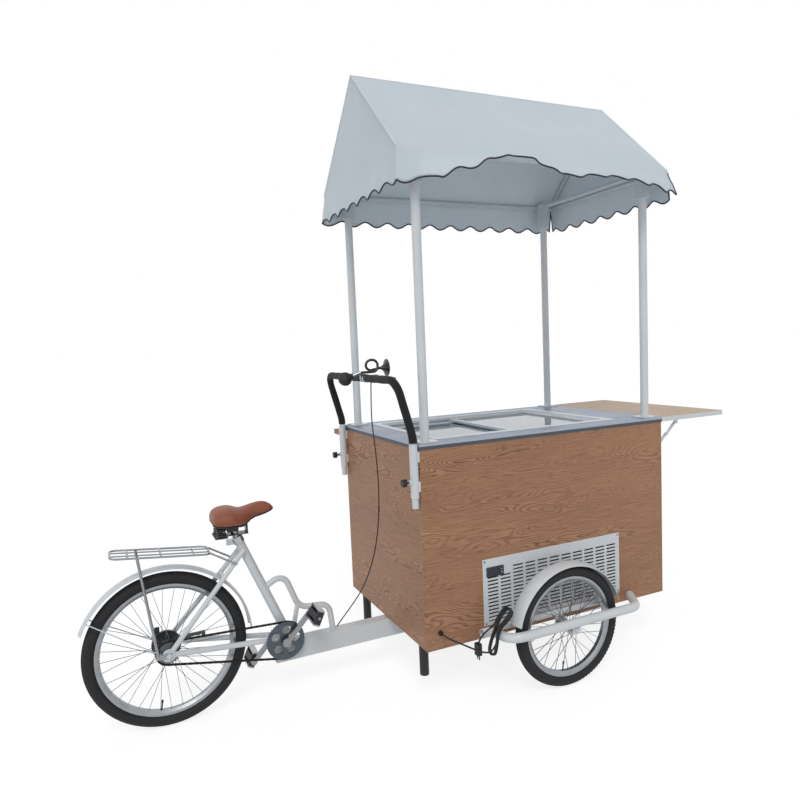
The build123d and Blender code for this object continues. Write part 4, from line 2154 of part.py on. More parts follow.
save("chassis_frame", chassis_frame())
save("stop_sleeves", *stop_sleeves())
save("cabinet_panels", *cabinet_panels())
save("top_deck", top_deck())
save("edge_trim", edge_trim())
save("liner_tub", liner_tub())
save("lid_rails", lid_rails())
save("lid_rear_frame", lid_frame(False))
save("lid_rear_glass", lid_glass(False))
save("lid_front_frame", lid_frame(True))
save("lid_front_glass", lid_glass(True))
save("grille_plate", grille_plate())
save("controller_case", controller_case())
save("button_up", button(button_spots()[0]))
save("button_down", button(button_spots()[1]))
save("compressor", compressor())
save("condenser", condenser())
save("fan_rotor", fan_rotor())
save("canopy_poles", *canopy_poles())
save("canopy_frame", canopy_frame())
save("canopy_cloth", canopy_cloth())
save("bar_sockets", *bar_sockets())
save("knob_right", knob(-1))
save("knob_left", knob(1))
save("push_bar", push_bar())
save("bar_foam", *bar_foam())
save("bulb_horn", *bulb_horn())
save("bar_clamps", *bar_clamps())
save("brake_lever", brake_lever())
save("carrier_right", carrier())
save("carrier_left", mirrored(carrier()))
save("front_fenders", *front_fenders())
save("front_tyre_right", tyre(FRONT_TYRE_DIA, FRONT_BEAD_DIA, (FRONT_AXLE_X, -FRONT_WHEEL_Y, FRONT_AXLE_Z)))
save("front_tyre_left", tyre(FRONT_TYRE_DIA, FRONT_BEAD_DIA, (FRONT_AXLE_X, FRONT_WHEEL_Y, FRONT_AXLE_Z)))
save("front_wheel_right", front_wheel(-FRONT_WHEEL_Y))
save("front_wheel_left", front_wheel(FRONT_WHEEL_Y))
save("main_frame", main_frame())
save("rear_stays", rear_stays())
save("rear_fender", rear_fender())
save("rear_rack", rear_rack())
save("band_brake", band_brake())
save("brake_cable", brake_cable())
save("chain", *chain())
save("rear_tyre", tyre(REAR_TYRE_DIA, REAR_BEAD_DIA, (REAR_AXLE_X, 0, REAR_AXLE_Z)))
save("rear_wheel", rear_wheel())
save("crankset", crankset())
save("pedal_right", pedal(-1))
save("pedal_left", pedal(1))
save("seat_post", seat_post())
save("saddle", saddle())
save("saddle_springs", *saddle_springs())
save("table_top", *table_top())
save("stay_lower", *stay_lower())
save("stay_upper", *stay_upper())
save("shelf_irons", *shelf_irons())
save("side_shelf", side_shelf())
save("cord_gland", cord_gland())
save("power_cord", power_cord())
save("cord_hank", cord_hank())
save("power_plug", power_plug())
print("centre x", round(CENTRE_X, 3), "bracket x", round(BRACKET_X, 3))
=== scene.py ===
import bpy
import bmesh
import json
from math import cos, exp, pi, radians, sin, sqrt, tan
from mathutils import Matrix, Vector
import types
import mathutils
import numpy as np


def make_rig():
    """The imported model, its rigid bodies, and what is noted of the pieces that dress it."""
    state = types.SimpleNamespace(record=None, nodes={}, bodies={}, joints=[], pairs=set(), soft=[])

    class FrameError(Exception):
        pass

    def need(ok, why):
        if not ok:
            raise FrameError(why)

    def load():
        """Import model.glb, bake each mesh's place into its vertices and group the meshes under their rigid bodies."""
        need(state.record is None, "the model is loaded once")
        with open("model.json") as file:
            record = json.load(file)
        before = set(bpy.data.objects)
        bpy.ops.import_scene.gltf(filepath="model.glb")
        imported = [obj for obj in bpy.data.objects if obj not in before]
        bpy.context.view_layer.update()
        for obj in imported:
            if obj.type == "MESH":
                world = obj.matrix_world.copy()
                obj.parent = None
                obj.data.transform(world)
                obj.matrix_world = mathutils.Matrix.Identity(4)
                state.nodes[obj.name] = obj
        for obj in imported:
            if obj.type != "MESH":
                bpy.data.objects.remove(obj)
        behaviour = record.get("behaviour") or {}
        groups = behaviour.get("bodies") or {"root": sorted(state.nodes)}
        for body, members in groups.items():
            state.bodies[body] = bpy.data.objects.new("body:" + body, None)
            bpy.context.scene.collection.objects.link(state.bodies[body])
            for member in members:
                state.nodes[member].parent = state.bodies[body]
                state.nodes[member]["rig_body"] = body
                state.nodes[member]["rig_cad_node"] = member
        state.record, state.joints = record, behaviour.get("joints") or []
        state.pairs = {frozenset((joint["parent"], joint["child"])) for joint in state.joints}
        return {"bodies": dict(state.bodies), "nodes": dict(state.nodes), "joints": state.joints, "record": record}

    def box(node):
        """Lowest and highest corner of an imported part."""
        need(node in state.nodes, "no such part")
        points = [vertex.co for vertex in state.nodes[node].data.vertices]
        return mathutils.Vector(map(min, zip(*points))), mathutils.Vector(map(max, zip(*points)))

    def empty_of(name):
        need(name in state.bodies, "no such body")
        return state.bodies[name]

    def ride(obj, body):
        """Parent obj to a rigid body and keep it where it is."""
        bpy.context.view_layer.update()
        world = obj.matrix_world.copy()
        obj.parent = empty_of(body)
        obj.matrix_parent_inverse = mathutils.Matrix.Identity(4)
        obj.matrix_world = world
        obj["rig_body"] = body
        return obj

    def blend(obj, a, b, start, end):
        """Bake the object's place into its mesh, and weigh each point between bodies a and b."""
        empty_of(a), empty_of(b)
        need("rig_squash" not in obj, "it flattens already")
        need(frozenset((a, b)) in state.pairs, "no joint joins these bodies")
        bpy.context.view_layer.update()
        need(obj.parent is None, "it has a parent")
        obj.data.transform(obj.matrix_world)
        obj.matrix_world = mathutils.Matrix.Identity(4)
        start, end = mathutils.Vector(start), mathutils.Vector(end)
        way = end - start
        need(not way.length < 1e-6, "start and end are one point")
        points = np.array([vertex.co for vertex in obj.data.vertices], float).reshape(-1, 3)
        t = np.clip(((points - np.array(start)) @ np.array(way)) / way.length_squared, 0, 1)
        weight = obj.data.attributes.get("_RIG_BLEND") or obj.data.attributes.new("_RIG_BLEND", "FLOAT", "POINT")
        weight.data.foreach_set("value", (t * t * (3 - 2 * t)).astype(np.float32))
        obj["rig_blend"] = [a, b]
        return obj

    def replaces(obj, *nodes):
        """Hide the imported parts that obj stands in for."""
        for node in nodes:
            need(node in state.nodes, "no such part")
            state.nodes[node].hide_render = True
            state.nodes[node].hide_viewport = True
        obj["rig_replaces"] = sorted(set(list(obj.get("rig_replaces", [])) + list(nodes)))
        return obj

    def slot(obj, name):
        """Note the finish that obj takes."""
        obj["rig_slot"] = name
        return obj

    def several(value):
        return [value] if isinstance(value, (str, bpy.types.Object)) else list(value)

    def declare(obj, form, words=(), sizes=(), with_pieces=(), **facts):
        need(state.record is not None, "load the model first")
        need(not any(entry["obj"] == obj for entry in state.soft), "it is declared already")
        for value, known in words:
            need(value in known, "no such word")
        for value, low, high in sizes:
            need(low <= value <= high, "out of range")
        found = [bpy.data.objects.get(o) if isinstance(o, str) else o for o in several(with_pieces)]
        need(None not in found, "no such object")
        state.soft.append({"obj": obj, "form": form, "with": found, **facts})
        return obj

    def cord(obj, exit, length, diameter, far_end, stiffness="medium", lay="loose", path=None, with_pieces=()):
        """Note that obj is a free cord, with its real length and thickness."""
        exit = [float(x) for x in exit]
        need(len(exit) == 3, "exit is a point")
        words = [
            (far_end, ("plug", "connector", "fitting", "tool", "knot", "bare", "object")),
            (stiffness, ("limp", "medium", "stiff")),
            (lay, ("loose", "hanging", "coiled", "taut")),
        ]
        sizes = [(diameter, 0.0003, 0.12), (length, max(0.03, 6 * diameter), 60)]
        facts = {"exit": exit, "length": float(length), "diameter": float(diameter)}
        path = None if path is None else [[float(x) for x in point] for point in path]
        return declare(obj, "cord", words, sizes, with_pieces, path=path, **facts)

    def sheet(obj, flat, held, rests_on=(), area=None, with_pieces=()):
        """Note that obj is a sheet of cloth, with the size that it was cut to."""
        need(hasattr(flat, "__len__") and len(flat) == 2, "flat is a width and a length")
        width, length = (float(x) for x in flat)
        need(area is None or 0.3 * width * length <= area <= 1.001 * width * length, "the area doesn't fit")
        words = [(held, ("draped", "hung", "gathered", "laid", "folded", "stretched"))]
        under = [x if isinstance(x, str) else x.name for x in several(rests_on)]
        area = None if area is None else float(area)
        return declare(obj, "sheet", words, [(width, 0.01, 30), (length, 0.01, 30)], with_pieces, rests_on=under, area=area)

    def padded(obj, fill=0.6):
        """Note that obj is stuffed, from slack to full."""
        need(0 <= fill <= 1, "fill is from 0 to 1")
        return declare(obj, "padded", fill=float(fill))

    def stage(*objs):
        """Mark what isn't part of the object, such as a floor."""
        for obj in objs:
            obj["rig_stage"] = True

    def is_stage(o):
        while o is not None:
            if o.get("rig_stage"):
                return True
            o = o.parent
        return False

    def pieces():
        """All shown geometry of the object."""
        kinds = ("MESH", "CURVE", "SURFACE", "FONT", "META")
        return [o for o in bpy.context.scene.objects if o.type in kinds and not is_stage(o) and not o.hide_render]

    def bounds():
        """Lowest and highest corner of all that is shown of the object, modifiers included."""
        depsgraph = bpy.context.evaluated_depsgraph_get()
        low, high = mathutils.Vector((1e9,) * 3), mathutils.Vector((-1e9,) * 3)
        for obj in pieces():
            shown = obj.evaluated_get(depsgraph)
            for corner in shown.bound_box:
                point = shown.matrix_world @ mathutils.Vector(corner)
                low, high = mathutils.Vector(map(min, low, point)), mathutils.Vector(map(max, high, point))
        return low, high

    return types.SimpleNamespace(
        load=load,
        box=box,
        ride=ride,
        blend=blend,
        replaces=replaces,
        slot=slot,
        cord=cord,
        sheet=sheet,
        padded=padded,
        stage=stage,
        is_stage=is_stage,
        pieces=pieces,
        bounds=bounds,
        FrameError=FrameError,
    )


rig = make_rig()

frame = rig.load()
cad_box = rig.bounds()


# The chassis and every bracket, post and rail of the cart: mild steel tube, welded,
# then sprayed with white enamel. The paint is a little thicker and dustier in places.
class Reading:
    """A value in a finish's node tree. Sums on readings add Math nodes."""

    def __init__(self, finish, socket):
        self.finish = finish
        self.socket = socket

    def math(self, operation, *others):
        sockets = dict(enumerate((self, *others)))
        return self.finish.node("ShaderNodeMath", {"operation": operation}, sockets)

    def __add__(self, other):
        return self.math("ADD", other)

    __radd__ = __add__

    def __sub__(self, other):
        return self.math("SUBTRACT", other)

    def __rsub__(self, other):
        return self.math("MULTIPLY_ADD", -1.0, other)

    def __mul__(self, other):
        return self.math("MULTIPLY", other)

    def __pow__(self, other):
        return self.math("POWER", other)

    def __gt__(self, other):
        return self.math("GREATER_THAN", other)

    def __lt__(self, other):
        return self.math("LESS_THAN", other)

    def __abs__(self):
        return self.math("ABSOLUTE")

    def wave(self):
        return self.math("SINE")

    def clamped(self):
        return self.finish.node("ShaderNodeClamp", {}, {0: self})


class Finish:
    """One material: its node tree, its principled shader and the place on the piece."""

    def __init__(self, name):
        self.material = bpy.data.materials.new(name)
        self.material.use_nodes = True
        self.tree = self.material.node_tree
        self.shader = self.tree.nodes["Principled BSDF"]

    def node(self, kind, settings, sockets, out=0):
        made = self.tree.nodes.new(kind)
        for key, value in settings.items():
            setattr(made, key, value)
        for key, value in sockets.items():
            self.put(made.inputs[key], value)
        return Reading(self, made.outputs[out])

    def put(self, socket, value):
        if isinstance(value, Reading):
            self.tree.links.new(value.socket, socket)
        elif hasattr(value, "__len__") and len(value) == 3 and socket.type == "RGBA":
            socket.default_value = (*value, 1)
        else:
            socket.default_value = value

    def set(self, **values):
        for name, value in values.items():
            self.put(self.shader.inputs[name.replace("_", " ")], value)
        return self

    def place(self, scale=(1, 1, 1)):
        spot = self.node("ShaderNodeTexCoord", {}, {}, "Object")
        return self.node("ShaderNodeVectorMath", {"operation": "MULTIPLY"}, {0: spot, 1: scale})

    def axis(self, letter):
        return self.node("ShaderNodeSeparateXYZ", {}, {0: self.place()}, letter)

    def noise(self, scale, stretch=(1, 1, 1), detail=3.0, rough=0.5, at=None):
        spot = self.place(stretch) if at is None else at
        sockets = {"Vector": spot, "Scale": scale, "Detail": detail, "Roughness": rough}
        return self.node("ShaderNodeTexNoise", {}, sockets)

    def mix(self, factor, a, b):
        sockets = {0: factor, 6: a, 7: b}
        return self.node("ShaderNodeMix", {"data_type": "RGBA"}, sockets, 2)

    def bump(self, height, distance, strength):
        sockets = {"Height": height, "Distance": distance, "Strength": strength}
        self.set(Normal=self.node("ShaderNodeBump", {}, sockets))
        return self

    def colour(self):
        """The colour that the finish has so far, to be mixed with another."""
        return Reading(self, self.shader.inputs["Base Color"].links[0].from_socket)

    def reach(self, x, z):
        """Distance from an axle that lies across the cart."""
        across = self.axis("X") - x
        up = self.axis("Z") - z
        return (across * across + up * up) ** 0.5

    def laid_over(self, share, over):
        """Put a share of another shader over the principled one."""
        under = Reading(self, self.shader.outputs[0])
        both = self.node("ShaderNodeMixShader", {}, {0: share, 1: under, 2: over})
        self.put(self.tree.nodes["Material Output"].inputs[0], both)


def tint(red, green, blue):
    """Scene colour of a paint chip read in 0 to 255 steps."""
    shares = [v / 255 for v in (red, green, blue)]
    return tuple(((s + 0.055) / 1.055) ** 2.4 if s > 0.04 else s / 12.92 for s in shares)


def dress(finish, *names):
    """Give CAD pieces one finish."""
    for name in names:
        slots = frame["nodes"][name].data.materials
        slots.clear()
        slots.append(finish.material)


def enamel(name, light, shade, rough):
    """Sprayed enamel: a faint orange peel, thin dust and slow changes of shade."""
    paint = Finish(name)
    cloud = paint.noise(5.0, detail=4.0)
    dust = paint.noise(60.0, detail=5.0, rough=0.65)
    paint.set(Base_Color=paint.mix((cloud * 1.4 - 0.2) * (0.4 + dust * 0.6), light, shade))
    paint.set(Roughness=(rough + dust * 0.12 - 0.04).clamped(), IOR=1.5)
    paint.set(Coat_Weight=0.25, Coat_Roughness=0.12)
    return paint.bump(paint.noise(420.0, detail=2.0), 0.0006, 0.22)


white_paint = (tint(229, 232, 234), tint(207, 212, 217), 0.34)
white_enamel = enamel("white_enamel", *white_paint)
dress(white_enamel, "chassis_frame")


# The two stop posts under the cabinet end in black plastic sleeves, pushed on, that the
# turning beam meets at full lock.
def worn(name, speckle, light, shade, rough, **constants):
    """A finish that wanders between two shades, and two degrees of gloss, by one noise."""
    finish = Finish(name)
    scale, detail, ragged = speckle
    least, more = rough
    finish.wear = finish.noise(scale, detail=detail, rough=ragged)
    finish.set(Base_Color=finish.mix(finish.wear, light, shade), **constants)
    return finish.set(Roughness=least + finish.wear * more)


black_moulding = worn(
    "black_moulding", (22.0, 6.0, 0.7), tint(20, 21, 24), tint(44, 45, 50), (0.42, 0.2), IOR=1.47
)
black_moulding.bump(black_moulding.noise(900.0, detail=2.0), 0.0004, 0.35)
dress(black_moulding, "stop_sleeves")


# The cabinet is closed by four boards faced with printed oak laminate. The figure runs
# level along each board, with pale arches between dark rings and short dark pores.
def oak(name, along, across, light, deep):
    """Printed oak laminate whose figure runs along one reading of the place."""
    wood = Finish(name)
    run = along(wood)
    rise = across(wood)

    def figure_noise(long, short, detail, rough=0.5):
        spot = wood.node("ShaderNodeCombineXYZ", {}, {0: run * long, 1: rise * short})
        return wood.noise(1.0, detail=detail, rough=rough, at=spot)

    arch = figure_noise(1.7, 8.0, 2.0, 0.4)
    band = ((figure_noise(0.7, 5.0, 1.0) - 0.45) * 7.0).clamped()
    rings = (arch * 250.0 + rise * 500.0).wave() * 0.5 + 0.5
    fibre = figure_noise(8.0, 260.0, 4.0, 0.6)
    pores = ((figure_noise(26.0, 620.0, 1.0) - 0.60) * 9.0).clamped()
    figure = (rings ** 2.0 - 0.38) * (0.14 + band * 0.52)
    dark = (figure + (fibre - 0.5) * 1.25 + (arch - 0.5) * 0.4 + 0.44).clamped()
    face = wood.mix(dark, light, deep)
    face = wood.mix(pores * 0.55, face, tuple(v * 0.42 for v in deep))
    wood.set(Base_Color=face, Roughness=(0.44 + fibre * 0.14 + pores * 0.1).clamped(), IOR=1.5)
    return wood.bump(fibre * 0.5 - pores * 0.5 + figure * 0.2, 0.0012, 0.35)


board_back = 0.3945


def board_run(wood):
    """Along the board: x on the long side boards and y on the end boards."""
    side = abs(wood.axis("Y")) > board_back
    return wood.axis("X") * side + (wood.axis("Y") + 3.0) * (1 - side)


oak_light = tint(194, 144, 108)
oak_deep = tint(118, 80, 58)
board_oak = oak("board_oak", board_run, lambda wood: wood.axis("Z"), oak_light, oak_deep)
dress(board_oak, "cabinet_panels")

# The work top is one folded sheet of brushed stainless steel, hemmed by a dark rubber
# strip that covers the cut edge of the boards.
brushed_steel = Finish("brushed_steel")
brush = brushed_steel.noise(1.0, (6.0, 900.0, 900.0), 3.0, 0.6)
wiped = brushed_steel.noise(7.0, detail=5.0, rough=0.6)
brushed_steel.set(Base_Color=brushed_steel.mix(wiped, tint(146, 158, 176), tint(114, 126, 144)))
brushed_steel.set(Metallic=1.0, Roughness=(0.26 + brush * 0.16 + wiped * 0.1).clamped())
brushed_steel.bump(brush, 0.0003, 0.25)
dress(brushed_steel, "top_deck")

strip_lip = 1.0490
grey_strip = Finish("grey_strip")
drawn = grey_strip.noise(1.0, (14.0, 14.0, 700.0), 3.0)
worn_edge = grey_strip.noise(12.0, detail=5.0, rough=0.65)
lip = grey_strip.axis("Z") > strip_lip
strip_face = grey_strip.mix(worn_edge, tint(62, 69, 77), tint(94, 102, 111))
grey_strip.set(Base_Color=grey_strip.mix(lip, strip_face, tint(172, 180, 190)))
grey_strip.set(Roughness=0.38 + worn_edge * 0.2, Metallic=0.55)
grey_strip.bump(drawn, 0.0004, 0.3)
dress(grey_strip, "edge_trim")

# The freezer tub is one vacuum-formed liner of white plastic. The rail frame that carries
# the lids and the lids' own borders are extruded in the same white.
white_plastic = worn(
    "white_plastic", (9.0, 5.0, 0.6), tint(238, 240, 242), tint(220, 226, 231), (0.28, 0.2),
    IOR=1.49,
)
white_plastic.bump(white_plastic.noise(380.0, detail=2.0), 0.0004, 0.2)
dress(white_plastic, "liner_tub", "lid_rails", "lid_rear_frame", "lid_front_frame")

# Each lid is a pane of 4 mm tempered glass, faintly blue, set in its border. Hands leave
# long smears on it.
lid_glass = Finish("lid_glass")
smear = lid_glass.noise(6.0, (1.0, 3.0, 1.0), 5.0, 0.65)
lid_glass.set(Base_Color=tint(176, 194, 206), Roughness=smear * 0.09)
lid_glass.set(IOR=1.5, Transmission_Weight=0.92)
dress(lid_glass, "lid_rear_glass", "lid_front_glass")

# Cold plant behind the vent: a black enamelled compressor shell, an aluminium fin block
# with its shroud, and a moulded fan. The vent is a punched steel plate in white enamel,
# held by four dull screws whose heads stand out from it.
plant_enamel = enamel("plant_enamel", tint(24, 24, 26), tint(40, 40, 42), 0.4)
dress(plant_enamel, "compressor")
fin_metal = worn(
    "fin_metal", (30.0, 5.0, 0.7), tint(150, 152, 154), tint(96, 95, 92), (0.4, 0.3), Metallic=0.8
)
fin_metal.bump((fin_metal.axis("X") * 2500.0).wave(), 0.0006, 0.5)
dress(fin_metal, "condenser")
dress(black_moulding, "fan_rotor")
vent_face = -0.4122
vent_enamel = enamel("vent_enamel", *white_paint)
screw_heads = vent_enamel.axis("Y") < vent_face
vent_enamel.set(Base_Color=vent_enamel.mix(screw_heads, vent_enamel.colour(), tint(92, 94, 98)))
vent_enamel.set(Metallic=screw_heads * 0.8, Coat_Weight=0.25 - screw_heads * 0.25)
dress(vent_enamel, "grille_plate")

# The thermostat sits in a dark moulded case with a smoked window and two grey keys, the
# upper and the lower one.
window_x, window_z = 0.112, 0.5275
case_black = Finish("case_black")
window = abs(case_black.axis("X") - window_x) < 0.020
window = window * (abs(case_black.axis("Z") - window_z) < 0.011) * (case_black.axis("Y") < -0.40)
speck = case_black.noise(700.0, detail=2.0)
case_black.set(Base_Color=case_black.mix(window, tint(40, 44, 58), tint(10, 10, 14)))
case_black.set(Roughness=0.44 - window * 0.34, IOR=1.5)
case_black.bump(speck * (1 - window), 0.0003, 0.3)
dress(case_black, "controller_case")
key_grey = worn(
    "key_grey", (140.0, 3.0, 0.5), tint(176, 180, 186), tint(150, 154, 160), (0.4, 0.15)
)
dress(key_grey, "button_up", "button_down")

# Four white posts carry a light roof skeleton of aluminium tube, powder coated in a
# white that is a little greyer than the posts' enamel.
dress(white_enamel, "canopy_poles")
coated_tube = enamel("coated_tube", tint(214, 219, 223), tint(188, 196, 203), 0.42)
dress(coated_tube, "canopy_frame")

# The roof cover is one coated polyester sheet: two slopes and a valance along each eave,
# cut in waves. It is sewn to two gable sheets and round the rear corners; its hems are bound.
roof_x0 = -0.25156
roof_x1 = 1.07844
roof_half = 0.415
roof_eave = 2.160
roof_ridge = 2.560
valance = 0.114
hem_wave = 0.023
slope_share = 0.81
gable_share = 0.62
eave_waves = 11
gable_waves = 7
hem_ripple = 0.003
cloth_thick = 0.0016
tape_radius = 0.0034
welt_radius = 0.0032
roof_flat = (1.33, 1.40)
gable_flat = (0.83, 0.53)
lift = [
    (-0.25156, 7), (-0.17, 12), (-0.11, 30), (-0.02, 46), (0.09, 66), (0.15, 74), (0.25, 73),
    (0.35, 60), (0.45, 49), (0.64, 54), (0.77, 52), (0.89, 45), (1.03, 32), (1.07844, 24),
]


def ease(t):
    """Slow start and slow end between 0 and 1."""
    return t * t * (3 - 2 * t)


def flare(x, table):
    """Lean of the hanging valance at one place along the eave, in degrees."""
    for (xa, a), (xb, b) in zip(table, table[1:]):
        if x <= xb:
            return a + (b - a) * ease(max(0.0, (x - xa) / (xb - xa)))
    return table[-1][1]


def hem_depth(share, count):
    """Depth of the valance at a share of its length: an even wave is cut along the hem."""
    return valance + hem_wave * (0.5 + 0.5 * sin(2 * pi * count * share))


def hang(t):
    """Share of its full lean that a valance has at a share of its depth."""
    return ease(min(1.0, 0.35 + t))


def gable_lean(t):
    """Outward lean of a gable's valance at a share of its depth."""
    return radians(6) * hang(t)


canvas = Finish("canvas")
weave_u = canvas.node("ShaderNodeUVMap", {"uv_map": "cut"}, {})
warp, weft = (
    (canvas.node("ShaderNodeSeparateXYZ", {}, {0: weave_u}, k) * 4200.0).wave() for k in (0, 1)
)
cloud = canvas.noise(3.5, detail=5.0, rough=0.6)
soil = canvas.noise(26.0, detail=6.0, rough=0.7)
canvas_white, canvas_grey = tint(242, 250, 255), tint(222, 234, 243)
canvas.set(Base_Color=canvas.mix(cloud * 0.75 + soil * 0.25, canvas_white, canvas_grey))
canvas.set(Roughness=0.72 + soil * 0.12, Sheen_Weight=0.12, Sheen_Roughness=0.5, IOR=1.45)
creases = canvas.noise(9.0, (1.0, 0.7, 1.6), 3.0, 0.5)
canvas.bump(warp * weft * 0.08 + creases * 1.1 + soil * 0.06, 0.006, 0.45)
thin = canvas.node("ShaderNodeBsdfTranslucent", {}, {"Color": tint(236, 232, 226)})
canvas.laid_over(0.08, thin)


def roof_point(u, v):
    """Place on the roof cover: u along the eave, v across from one hem to the other."""
    x = roof_x0 + (roof_x1 - roof_x0) * u
    side = -1 if v < 0.5 else 1
    across = abs(v - 0.5) * 2
    if across <= slope_share:
        t = across / slope_share
        y = side * roof_half * t
        z = roof_ridge + (roof_eave - roof_ridge) * t
        sag = sin(pi * t) * sin(pi * min(max((u - 0.02) / 0.96, 0), 1)) ** 0.6
        fold = sin(pi * t) * (0.0035 * sin(31 * u + 9 * t) + 0.003 * sin(17 * u - 13 * t + side))
        crease = exp(-((u - 0.72 + 0.62 * t) / 0.045) ** 2)
        crease += 0.7 * exp(-((u - 0.30 - 0.5 * t) / 0.06) ** 2)
        return x, y, z - 0.008 * sag - abs(fold) * 0.7 - 0.007 * crease * sin(pi * t)
    t = (across - slope_share) / (1 - slope_share)
    table = lift if side < 0 else [(roof_x0, 7), (0.4, 11), (roof_x1, 7)]
    lean = radians(flare(x, table)) * hang(t)
    depth = hem_depth(u, eave_waves) * t
    wave = hem_ripple * (cos(2 * pi * eave_waves * u) - 1) * t
    x -= depth * sin(gable_lean(t)) * ease(max(0.0, 1 - u / 0.07))
    return x, side * (roof_half + depth * sin(lean) + wave), roof_eave - depth * cos(lean)


def placed(name, data):
    """Put a mesh, curve, lamp or camera into the scene."""
    made = bpy.data.objects.new(name, data)
    bpy.context.collection.objects.link(made)
    return made


def made_piece(name, mesh, finish):
    """Make a finished mesh a piece of the scene, in one finish."""
    made = placed(name, bpy.data.meshes.new(name))
    mesh.to_mesh(made.data)
    mesh.free()
    made.data.materials.append(finish.material)
    return made


def smoothed(mesh):
    """Turn a mesh's faces outward and shade them smooth."""
    bmesh.ops.recalc_face_normals(mesh, faces=mesh.faces[:])
    for face in mesh.faces:
        face.smooth = True
    return mesh


def cloth_sheet(name, columns, rows, point, flat):
    """A sheet of cloth laid out by its place rule, with the cut's own coordinates kept."""
    mesh = bmesh.new()
    bmesh.ops.create_grid(mesh, x_segments=columns, y_segments=rows, size=0.5)
    cut = mesh.loops.layers.uv.new("cut")
    for face in mesh.faces:
        for corner in face.loops:
            u, v = corner.vert.co.x + 0.5, corner.vert.co.y + 0.5
            corner[cut].uv = (u * flat[0], v * flat[1])
    for vert in mesh.verts:
        vert.co = point(vert.co.x + 0.5, vert.co.y + 0.5)
    made = made_piece(name, smoothed(mesh), canvas)
    layer = made.modifiers.new("cloth_thickness", "SOLIDIFY")
    layer.thickness = cloth_thick
    layer.offset = 0.0
    return made


roof_cover = cloth_sheet("roof_cover", 156, 84, roof_point, roof_flat)
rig.ride(roof_cover, "cabinet")
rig.replaces(roof_cover, "canopy_cloth")
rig.slot(roof_cover, "canopy_fabric")


def gable_point(end):
    """Place rule of one gable with its valance; end is -1 at the rear and 1 in front."""
    edge_x = roof_x0 if end < 0 else roof_x1

    def point(u, v):
        y = roof_half * (2 * u - 1)
        top = roof_eave + (roof_ridge - roof_eave) * (1 - abs(2 * u - 1))
        t = 1 - v
        if t <= gable_share:
            s = t / gable_share
            bow = 0.006 * sin(pi * s) * sin(pi * u)
            return edge_x - end * (0.001 + bow), y, top + (roof_eave - top) * s
        s = (t - gable_share) / (1 - gable_share)
        depth = hem_depth(u, gable_waves) * s
        lean = gable_lean(s)
        wave = hem_ripple * (cos(2 * pi * gable_waves * u) - 1) * s
        if end < 0:
            corner = ease(max(0.0, 1 - u / 0.1)) - ease(max(0.0, 1 - (1 - u) / 0.1))
            y -= corner * depth * sin(radians(7) * hang(s))
        return edge_x + end * (depth * sin(lean) + wave - 0.001), y, roof_eave - depth * cos(lean)

    return point


gables = []
for end, name in ((-1, "rear_gable"), (1, "front_gable")):
    gable = cloth_sheet(name, 96, 40, gable_point(end), gable_flat)
    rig.ride(gable, "cabinet")
    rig.replaces(gable, "canopy_cloth")
    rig.slot(gable, "canopy_fabric")
    gables.append(gable)

# The waved hems and the open ends at the front corners are bound with navy tape, folded
# over the edge and stitched.
navy_tape = Finish("navy_tape")
rib = navy_tape.noise(700.0, detail=2.0)
navy_tape.set(Base_Color=navy_tape.mix(rib, tint(22, 30, 48), tint(40, 50, 70)))
navy_tape.set(Roughness=0.7, Sheen_Weight=0.2)
navy_tape.bump(rib, 0.0006, 0.4)


def spline(name, points, kind, fine=12):
    """Curve data with one run of points, straight or smooth between them."""
    line = bpy.data.curves.new(name, "CURVE")
    line.dimensions = "3D"
    run = line.splines.new(kind)
    run.points.add(len(points) - 1)
    for spot, place in zip(run.points, points):
        spot.co = (*place, 1)
    run.resolution_u = fine
    if kind == "NURBS":
        run.order_u = 3
        run.use_endpoint_u = True
    return line


def bead(name, points, radius, finish, slot):
    """A round bead along a line of points on the canopy, made a mesh."""
    line = spline(name, points, "POLY")
    line.bevel_depth = radius
    line.bevel_resolution = 2
    line.use_fill_caps = True
    holder = bpy.data.objects.new(name + "_line", line)
    made = placed(name, bpy.data.meshes.new_from_object(holder))
    bpy.data.objects.remove(holder)
    for face in made.data.polygons:
        face.use_smooth = True
    made.data.materials.append(finish.material)
    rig.ride(made, "cabinet")
    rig.slot(made, slot)
    return made


bindings = []
for name, v in (("right_binding", 0.0), ("left_binding", 1.0)):
    hem = [roof_point(i / 312, v) for i in range(313)]
    hem += [roof_point(1.0, abs(v - (1 - slope_share) / 2 * i / 12)) for i in range(1, 12)]
    bindings.append(bead(name, hem, tape_radius, navy_tape, "dark_trim"))
gable_hems = []
for end, name in ((-1, "rear_binding"), (1, "front_binding")):
    rule = gable_point(end)
    hem = [rule(i / 192, 0.0) for i in range(193)]
    if end > 0:
        rises = [(1 - gable_share) * i / 12 for i in range(1, 12)]
        hem = [rule(0.0, v) for v in reversed(rises)] + hem + [rule(1.0, v) for v in rises]
    gable_hems.append(bead(name, hem, tape_radius, navy_tape, "dark_trim"))

# The seams at the gable edges are felled: a narrow raised welt of the cloth runs up each
# slope to the ridge and down the other.
welts = []
for end, name in ((-1, "rear_welt"), (1, "front_welt")):
    edge_x = roof_x0 if end < 0 else roof_x1
    across = [(i - 12) / 12 for i in range(25)]
    line = [(edge_x, roof_half * s, roof_ridge + (roof_eave - roof_ridge) * abs(s)) for s in across]
    welts.append(bead(name, line, welt_radius, canvas, "canopy_fabric"))

canopy_tubes = ["canopy_frame"]
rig.sheet(
    roof_cover, flat=roof_flat, held="stretched", rests_on=canopy_tubes,
    with_pieces=bindings + welts,
)
for gable, hem in zip(gables, gable_hems):
    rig.sheet(
        gable, flat=gable_flat, area=0.273, held="stretched", rests_on=canopy_tubes,
        with_pieces=[hem],
    )

